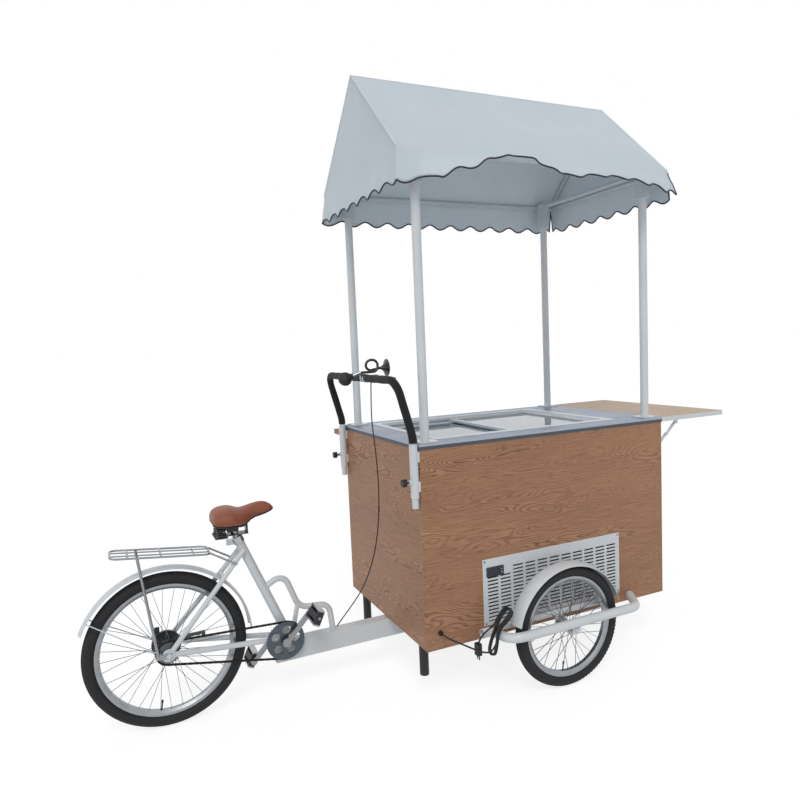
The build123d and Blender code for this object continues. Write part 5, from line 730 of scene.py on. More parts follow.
# The push bar is a bent white tube that stands in two strapped sockets, with a knob screw
# on each side. Its clamps and the brake lever are bright plated steel.
dress(white_enamel, "bar_sockets", "push_bar")
dress(black_moulding, "knob_right", "knob_left")
polished = worn(
    "polished_plate", (16.0, 5.0, 0.65), tint(160, 163, 166), tint(130, 134, 138), (0.09, 0.14),
    Metallic=1.0,
)
polished.bump(polished.noise(90.0, detail=3.0), 0.0003, 0.15)
dress(polished, "bar_clamps", "brake_lever")

# Two black foam sleeves are pushed on from the ends of the bar, each a closed-cell tube
# with a skin that shows fine pores and slow dents.
foam_skin = worn(
    "foam_skin", (18.0, 5.0, 0.65), tint(17, 17, 19), tint(38, 38, 41), (0.82, 0.1),
    IOR=1.4, Sheen_Weight=0.1,
)
cell = foam_skin.node("ShaderNodeTexVoronoi", {}, {"Vector": foam_skin.place(), "Scale": 620.0})
foam_skin.bump(cell + foam_skin.wear * 0.8, 0.0010, 0.5)
foam_radius = 0.016
foam_wall = 0.0034
foam_rim = 0.0012
bar_x = -0.22586
bar_back = -0.28586
bar_side = 0.398
bar_top = 1.307
bar_knee = 1.086
grip_foot = 1.064
wide_bend, tight_bend = 0.15, 0.06


def bent_bar(points, bends, radius, sides, pace, capped):
    """A round skin drawn along the runs and bends of a bar, through its corner points."""
    spots = [Vector(p) for p in points]
    ways = [(b - a).normalized() for a, b in zip(spots, spots[1:])]
    cuts = [r * tan(a.angle(b) / 2) for a, b, r in zip(ways, ways[1:], bends)]
    mesh = bmesh.new()
    turn = ways[0].to_track_quat("Z", "Y").to_matrix().to_4x4()
    turn.translation = spots[0]
    bmesh.ops.create_circle(mesh, segments=sides, radius=radius, cap_ends=capped, matrix=turn)
    edges = mesh.edges[:]

    def swept(**how):
        last = bmesh.ops.spin(mesh, geom=edges, **how)["geom_last"]
        return [item for item in last if isinstance(item, bmesh.types.BMEdge)]

    spot = spots[0]
    for k, way in enumerate(ways):
        length = (spots[k + 1] - spots[k]).length - sum(([0.0] + cuts + [0.0])[k:k + 2])
        steps = max(1, int(length / pace))
        step = way * (length / steps)
        edges = swept(cent=spot, axis=way, dvec=step, angle=0.0, steps=steps)
        spot = spot + way * length
        if k < len(cuts):
            axis = way.cross(ways[k + 1]).normalized()
            centre = spot + axis.cross(way) * bends[k]
            angle = way.angle(ways[k + 1])
            steps = max(4, int(angle * bends[k] / pace))
            edges = swept(cent=centre, axis=axis, angle=angle, steps=steps)
            spot = centre + Matrix.Rotation(angle, 3, axis) @ (spot - centre)
    return smoothed(mesh)


def bar_arm(y, inner):
    """Corner points of one arm of the bar, from its foot to the inner end of its sleeve."""
    foot, knee = (bar_x, y, grip_foot), (bar_x, y, bar_knee)
    return [foot, knee, (bar_back, y, bar_top), (bar_back, inner, bar_top)]


for name, points, bends in (
    ("left_grip", bar_arm(bar_side, -0.054), (wide_bend, tight_bend)),
    ("right_grip", bar_arm(-bar_side, -0.114)[::-1], (tight_bend, wide_bend)),
):
    grip = made_piece(name, bent_bar(points, bends, foam_radius, 28, 0.012, False), foam_skin)
    shell = grip.modifiers.new("foam_wall", "SOLIDIFY")
    shell.thickness = foam_wall
    shell.offset = -1.0
    rims = grip.modifiers.new("soft_rims", "BEVEL")
    rims.width = foam_rim
    rims.segments = 2
    rims.limit_method = "ANGLE"
    for vert in grip.data.vertices:
        x, y, z = vert.co
        dent = 0.00045 * sin(61 * y + 19 * z) + 0.0003 * sin(143 * y - 41 * z + 23 * x)
        vert.co += vert.normal * dent
    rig.ride(grip, "handle")
    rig.replaces(grip, "bar_foam")
    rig.slot(grip, "black_rubber")
    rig.padded(grip, fill=1.0)

# The horn is a squeeze bulb of black rubber on a bright reed tube, with a coiled trumpet
# of black enamelled brass that opens in a spun bell.
horn_rubber = worn(
    "horn_rubber", (40.0, 5.0, 0.65), tint(16, 16, 18), tint(36, 36, 38), (0.5, 0.2), IOR=1.5
)
horn_rubber.bump(horn_rubber.noise(500.0, detail=2.0), 0.0005, 0.3)
horn_enamel = enamel("horn_enamel", tint(18, 18, 20), tint(34, 34, 37), 0.22)
horn_y = -0.076
horn_z = 1.331
bulb_spot = (-0.36986, horn_y, 1.308)
bell_spot = (-0.21186, horn_y + 0.008, horn_z + 0.014)
horn_bend = 0.0225
horn_radius = 0.0055


def full_turn(mesh, outline, axis, steps):
    """Spin an outline's corners and edges once round an axis and close the seam."""
    how = dict(cent=(0, 0, 0), axis=axis, angle=2 * pi, steps=steps, use_merge=True)
    bmesh.ops.spin(mesh, geom=outline, **how)
    bmesh.ops.remove_doubles(mesh, verts=mesh.verts[:], dist=1e-6)
    smoothed(mesh)


def turned_shape(name, outline, place, sides, finish):
    """A shape spun about its own X axis from an outline of (along, radius) pairs."""
    mesh = bmesh.new()
    verts = [mesh.verts.new((along_axis, 0.0, radius)) for along_axis, radius in outline]
    edges = [mesh.edges.new(pair) for pair in zip(verts, verts[1:])]
    full_turn(mesh, verts + edges, (1, 0, 0), sides)
    bmesh.ops.transform(mesh, matrix=place, verts=mesh.verts[:])
    return made_piece(name, mesh, finish)


def aimed(spot, way):
    """Matrix that lays a shape's X axis along a way, at a spot."""
    turn = Vector(way).to_track_quat("X", "Z").to_matrix().to_4x4()
    turn.translation = spot
    return turn


bulb_outline = [
    (-0.0290, 0.0), (-0.0282, 0.0062), (-0.0250, 0.0146), (-0.0185, 0.0222), (-0.0100, 0.0271),
    (-0.0012, 0.0289), (-0.0004, 0.0294), (0.0004, 0.0294), (0.0012, 0.0289), (0.0100, 0.0272),
    (0.0180, 0.0226), (0.0228, 0.0170), (0.0250, 0.0118), (0.0270, 0.0098), (0.0310, 0.0096),
    (0.0320, 0.0102), (0.0345, 0.0102), (0.0355, 0.0094), (0.0356, 0.0),
]
bulb_place = aimed(bulb_spot, (0.96, 0, 0.30))
bulb = turned_shape("horn_bulb", bulb_outline, bulb_place, 40, horn_rubber)
bulb_round = bulb.modifiers.new("bulb_round", "SUBSURF")
bulb_round.levels = bulb_round.render_levels = 1
trumpet_route = [
    (-0.29986, horn_y - 0.006, horn_z), (-0.22386, horn_y - 0.005, horn_z),
    (-0.22386, horn_y - 0.002, horn_z + 0.050), (-0.27386, horn_y + 0.003, horn_z + 0.050),
    (-0.27386, horn_y + 0.006, horn_z + 0.003), (-0.20986, horn_y + 0.008, horn_z + 0.014),
]
trumpet_skin = bent_bar(trumpet_route, [horn_bend] * 4, horn_radius, 20, 0.004, True)
trumpet = made_piece("horn_trumpet", trumpet_skin, horn_enamel)
bell_outline = [
    (0.0, 0.0054), (0.006, 0.0064), (0.012, 0.0090), (0.018, 0.0134), (0.024, 0.0206),
    (0.029, 0.0298), (0.0325, 0.0374), (0.0334, 0.0380), (0.0338, 0.0374), (0.0316, 0.0322),
    (0.026, 0.0220), (0.019, 0.0134), (0.010, 0.0062), (0.006, 0.0),
]
bell = turned_shape("horn_bell", bell_outline, aimed(bell_spot, (1, 0, 0)), 44, horn_enamel)
for piece in (bulb, trumpet, bell):
    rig.ride(piece, "handle")
    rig.replaces(piece, "bulb_horn")
    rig.slot(piece, "black_rubber")

# The brake cable is a black sheathed wire from the lever down behind the cabinet to a
# stop on the beam. A shrink sleeve joins its upper half, on the bar, to its lower half.
cable_skin = worn(
    "cable_skin", (70.0, 4.0, 0.5), tint(14, 14, 15), tint(34, 34, 36), (0.45, 0.2)
)
cable_skin.bump(cable_skin.noise(900.0, detail=2.0), 0.0003, 0.3)
cable_radius = 0.0025
cable_joint = 0.75
cable_route = [
    (-0.26486, -0.099, 1.2938), (-0.27046, -0.10292, 1.21681), (-0.27214, -0.10367, 1.12717),
    (-0.26268, -0.10194, 1.03226), (-0.25522, -0.09921, 0.93735), (-0.25076, -0.09548, 0.84243),
    (-0.25247, -0.09066, 0.74646), (-0.25901, -0.08293, 0.65155), (-0.27355, -0.0722, 0.55663),
    (-0.29722, -0.05695, 0.46699), (-0.33134, -0.04058, 0.38684), (-0.37605, -0.02357, 0.32146),
    (-0.41803, -0.00952, 0.26662), (-0.43751, -0.002, 0.2392),
]


def along(points):
    """Points read from the smooth spline that has these points as its controls."""
    line = spline("route", points, "NURBS")
    holder = bpy.data.objects.new("route", line)
    mesh = bpy.data.meshes.new_from_object(holder)
    spots = [vert.co.copy() for vert in mesh.vertices]
    bpy.data.objects.remove(holder)
    bpy.data.curves.remove(line)
    bpy.data.meshes.remove(mesh)
    return spots


def run_length(spots):
    """Length of a line through points."""
    return sum((b - a).length for a, b in zip(spots, spots[1:]))


def cable(name, spots, sides=12):
    """A round cable through points, closed at both ends."""
    mesh = bmesh.new()
    rings = []
    side = Vector((0.31, 0.89, 0.33)).normalized()
    for index, spot in enumerate(spots):
        way = (spots[min(index + 1, len(spots) - 1)] - spots[max(index - 1, 0)]).normalized()
        side = (side - way * side.dot(way)).normalized()
        turn = Matrix((side, way.cross(side), way)).transposed().to_4x4()
        turn.translation = spot
        ring = bmesh.ops.create_circle(mesh, segments=sides, radius=cable_radius, matrix=turn)
        rings.append(ring["verts"])
    for near, far in zip(rings, rings[1:]):
        for k in range(sides):
            after = (k + 1) % sides
            mesh.faces.new((near[k], near[after], far[after], far[k]))
    mesh.faces.new(rings[0])
    mesh.faces.new(rings[-1])
    bmesh.ops.recalc_face_normals(mesh, faces=mesh.faces[:])
    for face in mesh.faces:
        face.smooth = len(face.verts) == 4
    return made_piece(name, mesh, cable_skin)


cable_line = along(cable_route)
split = min(range(len(cable_line)), key=lambda k: abs(cable_line[k].z - cable_joint))
upper_line = cable_line[:split + 1]
lower_line = cable_line[split:]
upper_cable = cable("upper_cable", upper_line)
lower_cable = cable("lower_cable", lower_line)
joint_way = (cable_line[split + 1] - cable_line[split - 1]).normalized()
sleeve_outline = [
    (-0.014, 0.0), (-0.014, 0.0028), (-0.012, 0.0034), (0.012, 0.0034), (0.014, 0.0028),
    (0.014, 0.0),
]
sleeve_place = aimed(cable_line[split], joint_way)
shrink = turned_shape("cable_sleeve", sleeve_outline, sleeve_place, 16, cable_skin)
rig.ride(shrink, "cabinet")
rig.slot(shrink, "black_rubber")
for part in (upper_cable, lower_cable):
    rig.replaces(part, "brake_cable")
    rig.slot(part, "black_rubber")
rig.blend(upper_cable, "handle", "cabinet", start=upper_line[0], end=upper_line[-1])
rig.blend(lower_cable, "cabinet", "rear_half", start=lower_line[0], end=lower_line[-1])
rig.cord(
    upper_cable, exit=upper_line[0], length=run_length(upper_line), diameter=0.005,
    far_end="fitting", stiffness="stiff", lay="hanging", path=upper_line, with_pieces=[shrink],
)
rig.cord(
    lower_cable, exit=lower_line[0], length=run_length(lower_line), diameter=0.005,
    far_end="object", stiffness="stiff", lay="hanging", path=lower_line,
)

# Each front carrier is a bent guard tube and an inner rail, welded to lugs for the axle,
# with a rolled steel mudguard over the wheel.
dress(white_enamel, "carrier_right", "carrier_left", "front_fenders")


# The wheels are built up from alloy rims and zinc-plated spokes laced to small hubs. The
# front pair and the larger rear wheel are made alike.
def wheel_metal(name, hub, rim_inside):
    """Spun alloy rim and hub, with the duller zinc of the spokes between them."""
    metal = Finish(name)
    lathe = metal.noise(1.0, (60.0, 800.0, 60.0), 2.0)
    road_dust = metal.noise(24.0, detail=5.0, rough=0.7)
    reach = metal.reach(hub[0], hub[2])
    spokes = (reach > hub_outside) * (reach < rim_inside)
    alloy = metal.mix(road_dust, tint(170, 173, 176), tint(132, 136, 140))
    metal.set(Base_Color=metal.mix(spokes, alloy, tint(104, 106, 109)), Metallic=1.0)
    metal.set(Roughness=(0.24 + road_dust * 0.2).clamped())
    return metal.bump(lathe, 0.0003, 0.2)


right_hub = (0.39344, -0.512, 0.253)
left_hub = (0.39344, 0.512, 0.253)
rear_hub = (-1.12856, 0.0, 0.3035)
hub_outside = 0.032
front_alloy = wheel_metal("front_alloy", right_hub, 0.188)
dress(front_alloy, "front_wheel_right", "front_wheel_left")
dress(wheel_metal("rear_alloy", rear_hub, 0.2385), "rear_wheel")

# The tyres are black rubber on a woven casing: a round tread with grooves and cut cross
# bars at its shoulders, plain side walls and beads in the rim.
tread_rubber = worn(
    "tread_rubber", (34.0, 6.0, 0.7), tint(20, 20, 22), tint(45, 45, 47), (0.66, 0.2), IOR=1.45
)
tread_rubber.bump(tread_rubber.noise(260.0, detail=3.0), 0.0006, 0.4)
tyre_tall = 0.050
shoulder = 0.0145
bar_depth = 0.0042


def tyre(name, node, body, hub, bars):
    """One tyre: an outline spun round its axle, with gaps pushed in between its tread bars."""
    outside = hub[2]
    inside = outside - tyre_tall
    section = [
        (-0.0118, inside + 0.0006), (-0.0122, inside + 0.0070), (-0.0188, inside + 0.0100),
        (-0.0228, inside + 0.0150), (-0.0246, inside + 0.0205), (-0.0250, inside + 0.0250),
        (-0.0246, inside + 0.0295), (-0.0238, outside - 0.0148), (-0.0214, outside - 0.0096),
        (-0.0174, outside - 0.0055), (-0.0150, outside - 0.0040), (-0.0143, outside - 0.0058),
        (-0.0119, outside - 0.0048), (-0.0112, outside - 0.0024), (-0.0062, outside - 0.0008),
        (-0.0056, outside - 0.0030), (-0.0030, outside - 0.0026), (-0.0024, outside - 0.0002),
        (0.0, outside),
    ]
    ring = section + [(-y, r) for y, r in reversed(section[:-1])]
    mesh = bmesh.new()
    verts = [mesh.verts.new((0.0, y, r)) for y, r in ring]
    edges = [mesh.edges.new(pair) for pair in zip(verts, verts[1:] + verts[:1])]
    full_turn(mesh, verts + edges, (0, 1, 0), bars * 2)
    for vert in mesh.verts:
        reach = sqrt(vert.co.x ** 2 + vert.co.z ** 2)
        if reach > outside - 0.0105 and abs(vert.co.y) > shoulder:
            turned = Vector((vert.co.x, vert.co.z)).angle_signed(Vector((0, 1))) / (2 * pi)
            fall = 1 - bar_depth * (round(turned * bars * 2) % 2) / reach
            vert.co.x *= fall
            vert.co.z *= fall
    bmesh.ops.translate(mesh, vec=hub, verts=mesh.verts[:])
    made = made_piece(name, mesh, tread_rubber)
    crisp = made.modifiers.new("tread_edges", "EDGE_SPLIT")
    crisp.split_angle = radians(38)
    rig.ride(made, body)
    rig.replaces(made, node)
    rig.slot(made, "tyre_rubber")


tyre("right_tyre", "front_tyre_right", "right_roadwheel", right_hub, 96)
tyre("left_tyre", "front_tyre_left", "left_roadwheel", left_hub, 96)
tyre("back_tyre", "rear_tyre", "rear_roadwheel", rear_hub, 116)

# Each inner tube has a black rubber valve with a screwed dust cap, standing in from the
# rim a little behind its lowest place.
valve_turn = radians(9)
valve_outline = [
    (0.0, 0.0), (0.0, 0.0040), (0.003, 0.0030), (0.026, 0.0030), (0.027, 0.0042), (0.038, 0.0040),
    (0.040, 0.0),
]
inward = Vector((sin(valve_turn), 0, cos(valve_turn)))
for name, body, hub, rim in (
    ("right_valve", "right_roadwheel", right_hub, 0.190),
    ("left_valve", "left_roadwheel", left_hub, 0.190),
    ("back_valve", "rear_roadwheel", rear_hub, 0.2405),
):
    valve_place = aimed(Vector(hub) - inward * rim, inward)
    valve = turned_shape(name, valve_outline, valve_place, 14, black_moulding)
    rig.ride(valve, body)
    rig.slot(valve, "black_rubber")

# The front table and the left shelf are laminate boards; the table's edges and underside
# are white. The table folds on steel eyes and is held by pairs of flat links.
table_face = 1.0572
table_oak = oak(
    "table_oak", lambda wood: wood.axis("Y") + 7.0, lambda wood: wood.axis("X"),
    tint(224, 198, 172), tint(186, 152, 124),
)
on_top = table_oak.axis("Z") > table_face
table_oak.set(Base_Color=table_oak.mix(on_top, tint(226, 228, 230), table_oak.colour()))
dress(table_oak, "table_top")
shelf_oak = oak(
    "shelf_oak", lambda wood: wood.axis("X") + 5.0, lambda wood: wood.axis("Y") + wood.axis("Z"),
    oak_light, oak_deep,
)
dress(shelf_oak, "side_shelf")
dress(white_enamel, "stay_lower", "stay_upper", "shelf_irons")

# The mains cord leaves a gland in the right board, sags and is gathered in a hank of
# three loops over the guard bar, with its moulded plug on the tail. It is black PVC.
cord_jacket = worn(
    "cord_jacket", (90.0, 4.0, 0.5), tint(17, 17, 19), tint(38, 38, 41), (0.48, 0.2)
)
cord_jacket.bump(cord_jacket.noise(700.0, detail=2.0), 0.0004, 0.3)
cord_radius = 0.0035
cord_route = [
    (-0.14656, -0.410, 0.303), (-0.14656, -0.440, 0.303), (-0.12053, -0.456, 0.28496),
    (-0.07849, -0.460, 0.26118), (-0.03463, -0.468, 0.23494), (0.00141, -0.484, 0.2169),
    (0.03544, -0.506, 0.221), (0.06844, -0.512, 0.312), (0.09204, -0.525, 0.3368),
    (0.12449, -0.525, 0.3709), (0.12449, -0.479, 0.3709), (0.09079, -0.479, 0.33799),
    (0.06539, -0.492, 0.31358), (0.04896, -0.479, 0.25934), (0.03425, -0.479, 0.21118),
    (0.03258, -0.525, 0.21163), (0.04563, -0.525, 0.26023), (0.0608, -0.512, 0.31595),
    (0.08581, -0.525, 0.34273), (0.11826, -0.525, 0.37683), (0.11826, -0.479, 0.37683),
    (0.08456, -0.479, 0.34391), (0.05775, -0.492, 0.31753), (0.04065, -0.479, 0.26157),
    (0.02594, -0.479, 0.21341), (0.02428, -0.525, 0.21386), (0.03733, -0.525, 0.26246),
    (0.05317, -0.512, 0.31991), (0.07958, -0.525, 0.34866), (0.11203, -0.525, 0.38276),
    (0.11203, -0.479, 0.38276), (0.07833, -0.479, 0.34984), (0.05011, -0.492, 0.32149),
    (0.00619, -0.468, 0.28141), (-0.00389, -0.46008, 0.24949),
]
cord_line = spline("mains_cord", cord_route, "NURBS", 10)
cord_line.bevel_depth = cord_radius
cord_line.bevel_resolution = 3
cord_line.use_fill_caps = True
mains_cord = placed("mains_cord", cord_line)
cord_line.materials.append(cord_jacket.material)
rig.ride(mains_cord, "cabinet")
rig.replaces(mains_cord, "power_cord", "cord_hank")
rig.slot(mains_cord, "cord_jacket")
dress(cord_jacket, "power_plug")
dress(black_moulding, "cord_gland")
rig.cord(
    mains_cord, exit=cord_route[0], length=run_length(along(cord_route)), diameter=0.007,
    far_end="plug", stiffness="medium", lay="coiled", with_pieces=[frame["nodes"]["power_plug"]],
)

# The bicycle half: a box beam on the kingpin, seat tube, hoop and rear triangle, all
# welded and white, with a bright collar, post and rod carrier and a brake at the rear hub.
dress(white_enamel, "rear_stays", "rear_fender")
seat_lean = radians(22.4)
collar_up = 0.9431
post_clamp = 0.7272
frame_enamel = enamel("frame_enamel", *white_paint)
up_tube = frame_enamel.axis("Z") * cos(seat_lean) - frame_enamel.axis("X") * sin(seat_lean)
collar = up_tube > collar_up
frame_enamel.set(Base_Color=frame_enamel.mix(collar, frame_enamel.colour(), tint(172, 175, 179)))
frame_enamel.set(Metallic=collar * 1.0, Coat_Weight=0.25 - collar * 0.25)
frame_enamel.set(Roughness=0.36 - collar * 0.2)
dress(frame_enamel, "main_frame")
dress(polished, "rear_rack")
post_plate = Finish("post_plate")
rubbing = post_plate.noise(16.0, (1.0, 1.0, 0.2), 5.0, 0.65)
clamp = post_plate.axis("Z") > post_clamp
post_bright = post_plate.mix(rubbing, tint(164, 167, 170), tint(134, 138, 142))
post_plate.set(Base_Color=post_plate.mix(clamp, post_bright, tint(24, 24, 26)))
post_plate.set(Metallic=1.0 - clamp)
post_plate.set(Roughness=(0.12 + rubbing * 0.14 + clamp * 0.22).clamped())
dress(post_plate, "seat_post")
drum_grey = enamel("drum_grey", tint(64, 68, 74), tint(44, 47, 52), 0.4)
dress(drum_grey, "band_brake")

# The drive: a pressed steel chainring in grey, bright cranks, an oiled roller chain and
# black pedals with bright cages.
bracket_x, bracket_z = -0.67603, 0.250
crank_arm = 0.160
crank_turn = radians(46)
pedal_tilt = radians(65)
cage_from = 0.0262
plate_out, plate_in = -0.0545, -0.0505
axle_reach = 0.016
ring_grey = Finish("ring_grey")
ring_y = ring_grey.axis("Y")
off_axle = ring_grey.reach(bracket_x, bracket_z) > axle_reach
on_plate = (ring_y > plate_out) * (ring_y < plate_in) * off_axle
press = ring_grey.noise(40.0, detail=5.0, rough=0.65)
plate_grey = ring_grey.mix(press, tint(99, 107, 116), tint(72, 79, 87))
bright = ring_grey.mix(press, tint(160, 160, 163), tint(128, 129, 132))
ring_grey.set(Base_Color=ring_grey.mix(on_plate, bright, plate_grey), Metallic=0.9)
ring_grey.set(Roughness=(0.16 + on_plate * 0.2 + press * 0.14).clamped())
ring_grey.bump(press, 0.0004, 0.2)
dress(ring_grey, "crankset")
oiled = worn(
    "oiled_chain", (160.0, 4.0, 0.65), tint(58, 54, 50), tint(22, 21, 20), (0.3, 0.3), Metallic=0.8
)
oiled.bump(oiled.wear, 0.0004, 0.3)
dress(oiled, "chain")
for name, end in (("pedal_right", 1), ("pedal_left", -1)):
    pedal = Finish(name + "_finish")
    forward = pedal.axis("X") - (bracket_x + end * crank_arm * cos(crank_turn))
    upward = pedal.axis("Z") - (bracket_z + end * crank_arm * sin(crank_turn))
    cage = abs(forward * cos(pedal_tilt) + upward * sin(pedal_tilt)) > cage_from
    knocks = pedal.noise(60.0, detail=4.0, rough=0.65)
    moulded = pedal.mix(knocks, tint(20, 21, 24), tint(46, 47, 52))
    pedal.set(Base_Color=pedal.mix(cage, moulded, tint(160, 163, 166)), Metallic=cage * 1.0)
    pedal.set(Roughness=(0.48 - cage * 0.26 + knocks * 0.12).clamped(), IOR=1.47)
    dress(pedal, name)

# The saddle is a moulded foam cushion under a tan vinyl cover, crowned at the back, waisted
# and rising to the nose, stretched over a black plastic pan that holds its lower hem.
hide = worn(
    "tan_hide", (14.0, 4.0, 0.6), tint(166, 96, 66), tint(130, 70, 48), (0.42, 0.2),
    IOR=1.48, Sheen_Weight=0.08,
)
pebble_at = {"Vector": hide.place(), "Scale": 520.0}
pebble = hide.node("ShaderNodeTexVoronoi", {"feature": "SMOOTH_F1"}, pebble_at)
hide.bump(pebble * 0.5 + hide.wear * 0.3, 0.0008, 0.4)
saddle_low, saddle_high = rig.box("saddle")
saddle_sections = [
    (0.000, 30, -40, -56), (0.012, 50, -28, -63), (0.040, 72, -16, -71), (0.100, 87, -8, -74),
    (0.160, 94, -5, -75), (0.240, 96, -3, -76), (0.300, 94, -4, -76), (0.370, 85, -9, -79),
    (0.440, 73, -17, -82), (0.500, 63, -16, -81), (0.550, 53, -12, -74), (0.610, 42, -8, -64),
    (0.690, 35, -3, -57), (0.780, 31, 0, -54), (0.860, 28, -2, -50), (0.930, 23, -10, -45),
    (0.975, 16, -20, -41), (1.000, 8, -31, -37),
]
cheeks = [
    (-0.80, 0.0), (-0.93, 0.10), (-1.0, 0.34), (-0.96, 0.58), (-0.82, 0.80), (-0.52, 0.95),
    (-0.2, 1.0),
]
pan_share = 0.80


def loft(name, shape, finish):
    """A skin bridged over the saddle's cross sections, with both ends closed."""
    mesh = bmesh.new()
    loops = []
    for share, half, high, low in saddle_sections:
        x = saddle_low.x + share * (saddle_high.x - saddle_low.x)
        top, base = (saddle_high.z + v / 1000 for v in (high, low))
        verts = [mesh.verts.new((x, y, z)) for y, z in shape(half / 1000, top, base)]
        loops.append([mesh.edges.new(pair) for pair in zip(verts, verts[1:] + verts[:1])])
    for near, far in zip(loops, loops[1:]):
        bmesh.ops.bridge_loops(mesh, edges=near + far)
    for loop in (loops[0], loops[-1]):
        bmesh.ops.edgeloop_fill(mesh, edges=loop)
    return made_piece(name, smoothed(mesh), finish)


def cushion_ring(half, top, base):
    """One cross section of the cushion: flat hem below, full cheeks and a crowned top."""
    hem = base + 0.006
    places = [(y * half, hem + up * (top - hem)) for y, up in cheeks]
    return places + [(-y, z) for y, z in reversed(places)]


cushion = loft("saddle_cushion", cushion_ring, hide)
plump = cushion.modifiers.new("plump", "SUBSURF")
plump.levels = plump.render_levels = 2
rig.ride(cushion, "seat")
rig.replaces(cushion, "saddle")
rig.slot(cushion, "saddle_hide")
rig.padded(cushion, fill=0.9)


def pan_ring(half, top, base):
    """One cross section of the pan under the cushion."""
    wide = half * pan_share
    low, high = base + 0.001, base + 0.0075
    return [(-wide, low), (-wide, high), (wide, high), (wide, low)]


pan = loft("saddle_pan", pan_ring, black_moulding)
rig.ride(pan, "seat")
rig.replaces(pan, "saddle")
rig.slot(pan, "dark_trim")

# Under the saddle two coil springs of black wire stand between pressed round plates on a
# flat steel strap, which is bolted to the head of the seat post and turned up at its nose.
spring_black = enamel("spring_black", tint(22, 22, 24), tint(42, 42, 44), 0.35)
spring_x = -0.90326
spring_y = 0.046
spring_low = 0.720
spring_high = 0.749
spring_radius = 0.0158
wire_radius = 0.0021
plate_radius = 0.019


def seat_iron(name, mesh):
    """Close the open ends of one black iron under the saddle and hang it on the seat."""
    bmesh.ops.holes_fill(mesh, edges=mesh.edges[:], sides=0)
    bmesh.ops.recalc_face_normals(mesh, faces=mesh.faces[:])
    made = made_piece(name, mesh, spring_black)
    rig.ride(made, "seat")
    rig.replaces(made, "saddle_springs")
    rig.slot(made, "dark_steel")


coils = bmesh.new()
climb = spring_high - spring_low - 0.004
for y in (-spring_y, spring_y):
    turn = Matrix.Translation((spring_x + spring_radius, y, spring_low + 0.002))
    turn = turn @ Matrix.Rotation(pi / 2, 4, "X")
    ring = bmesh.ops.create_circle(coils, segments=12, radius=wire_radius, matrix=turn)["verts"]
    wire = list({edge for vert in ring for edge in vert.link_edges})
    rise = dict(dvec=(0, 0, climb / 96), angle=6 * pi, steps=96)
    bmesh.ops.spin(coils, geom=wire, cent=(spring_x, y, 0), axis=(0, 0, 1), **rise)
seat_iron("seat_coils", smoothed(coils))

irons = bmesh.new()
for y in (-spring_y, spring_y):
    for low, tall in ((spring_low - 0.004, 0.004), (spring_high, 0.003)):
        disc = Matrix.Translation((spring_x, y, low + tall / 2))
        size = dict(radius1=plate_radius, radius2=plate_radius, depth=tall)
        bmesh.ops.create_cone(irons, cap_ends=True, segments=36, matrix=disc, **size)
for x0, x1, half, low, high in (
    (-0.92758, -0.87742, 0.0510, 0.713, 0.716),
    (-0.90326, -0.79342, 0.0255, 0.713, 0.716),
    (-0.80142, -0.79342, 0.0170, 0.713, 0.748),
):
    middle = Matrix.Translation(((x0 + x1) / 2, 0, (low + high) / 2))
    sides = Matrix.Diagonal((x1 - x0, 2 * half, high - low, 1))
    bmesh.ops.create_cube(irons, size=1.0, matrix=middle @ sides)
rounded = dict(offset=0.0007, offset_type="OFFSET", segments=2, profile=0.5)
bmesh.ops.bevel(irons, geom=irons.edges[:], affect="EDGES", material=-1, **rounded)
seat_iron("seat_irons", irons)

# The cart stands on a plain pale floor under soft light from above and from the right. The
# white surround is seen directly, in mirrors and through glass.
pale = Finish("pale_floor")
pale.set(Base_Color=(0.86, 0.86, 0.86), Roughness=0.9)
seen_as = ("Is Camera Ray", "Is Transmission Ray", "Is Glossy Ray")
seen = sum(pale.node("ShaderNodeLightPath", {}, {}, kind) for kind in seen_as)
glow = pale.node("ShaderNodeEmission", {}, {"Color": (1, 1, 1), "Strength": 1.3})
pale.laid_over(seen.clamped() * 0.62, glow)
floor_mesh = bmesh.new()
bmesh.ops.create_grid(floor_mesh, x_segments=1, y_segments=1, size=60.0)
floor = made_piece("floor", floor_mesh, pale)
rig.stage(floor)

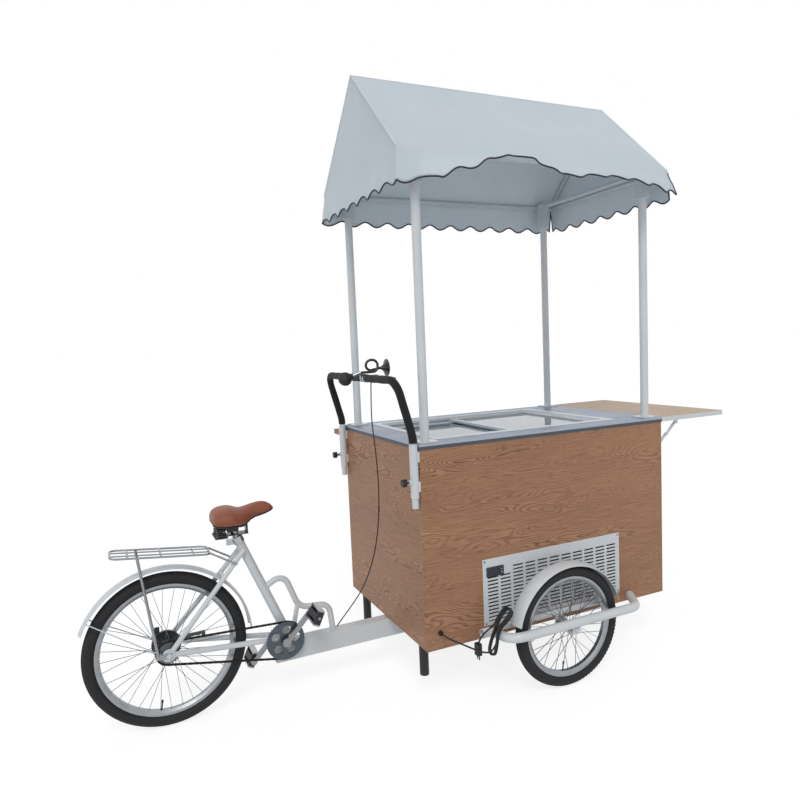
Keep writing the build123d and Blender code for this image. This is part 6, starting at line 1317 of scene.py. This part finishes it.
sky = bpy.data.worlds.new("soft_sky")
bpy.context.scene.world = sky
sky.use_nodes = True
tree = sky.node_tree
paths = tree.nodes.new("ShaderNodeLightPath")
lamp = tree.nodes["Background"]
lamp.inputs[0].default_value = (0.93, 0.97, 1.0, 1)
lamp.inputs[1].default_value = 0.41
white = tree.nodes.new("ShaderNodeBackground")
white.inputs[0].default_value = (1, 1, 1, 1)
white.inputs[1].default_value = 1.0
ray_sum = paths.outputs["Is Camera Ray"]
for kind in ("Is Glossy Ray", "Is Transmission Ray"):
    plus = tree.nodes.new("ShaderNodeMath")
    plus.operation = "ADD"
    plus.use_clamp = True
    tree.links.new(ray_sum, plus.inputs[0])
    tree.links.new(paths.outputs[kind], plus.inputs[1])
    ray_sum = plus.outputs[0]
blend = tree.nodes.new("ShaderNodeMixShader")
for source, socket in zip((ray_sum, lamp.outputs[0], white.outputs[0]), blend.inputs):
    tree.links.new(source, socket)
tree.links.new(blend.outputs[0], tree.nodes["World Output"].inputs[0])

for name, way, strength, spread in (
    ("key", (0.35, 0.75, -1.0), 0.88, 25),
    ("fill", (0.9, 0.5, -0.5), 0.29, 60),
):
    sun = bpy.data.lights.new(name, "SUN")
    sun.energy = strength
    sun.angle = radians(spread)
    holder = placed(name, sun)
    holder.rotation_euler = Vector(way).to_track_quat("-Z", "Y").to_euler()

# The camera stands where the photograph was taken from, to the right and behind, a little
# above the work top and rolled slightly.
yaw, pitch, roll = radians(65.438), radians(-4.893), radians(2.47)
ahead = Vector((cos(pitch) * cos(yaw), cos(pitch) * sin(yaw), sin(pitch)))
level = ahead.cross(Vector((0, 0, 1))).normalized()
below = ahead.cross(level)
right = cos(roll) * level + sin(roll) * below
down = -sin(roll) * level + cos(roll) * below
lens = bpy.data.cameras.new("camera")
lens.sensor_width = 36.0
lens.lens = 29.468
lens.clip_end = 200.0
camera = placed("camera", lens)
turn = Matrix((right, -down, -ahead)).transposed().to_4x4()
turn.translation = (-1.29066, -2.6259, 1.4430)
camera.matrix_world = turn
bpy.context.scene.camera = camera
bpy.context.scene.view_settings.view_transform = "Standard"

full_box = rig.bounds()
with open("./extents.json", "w") as file:
    json.dump({"cad": [list(v) for v in cad_box], "visual": [list(v) for v in full_box]}, file)
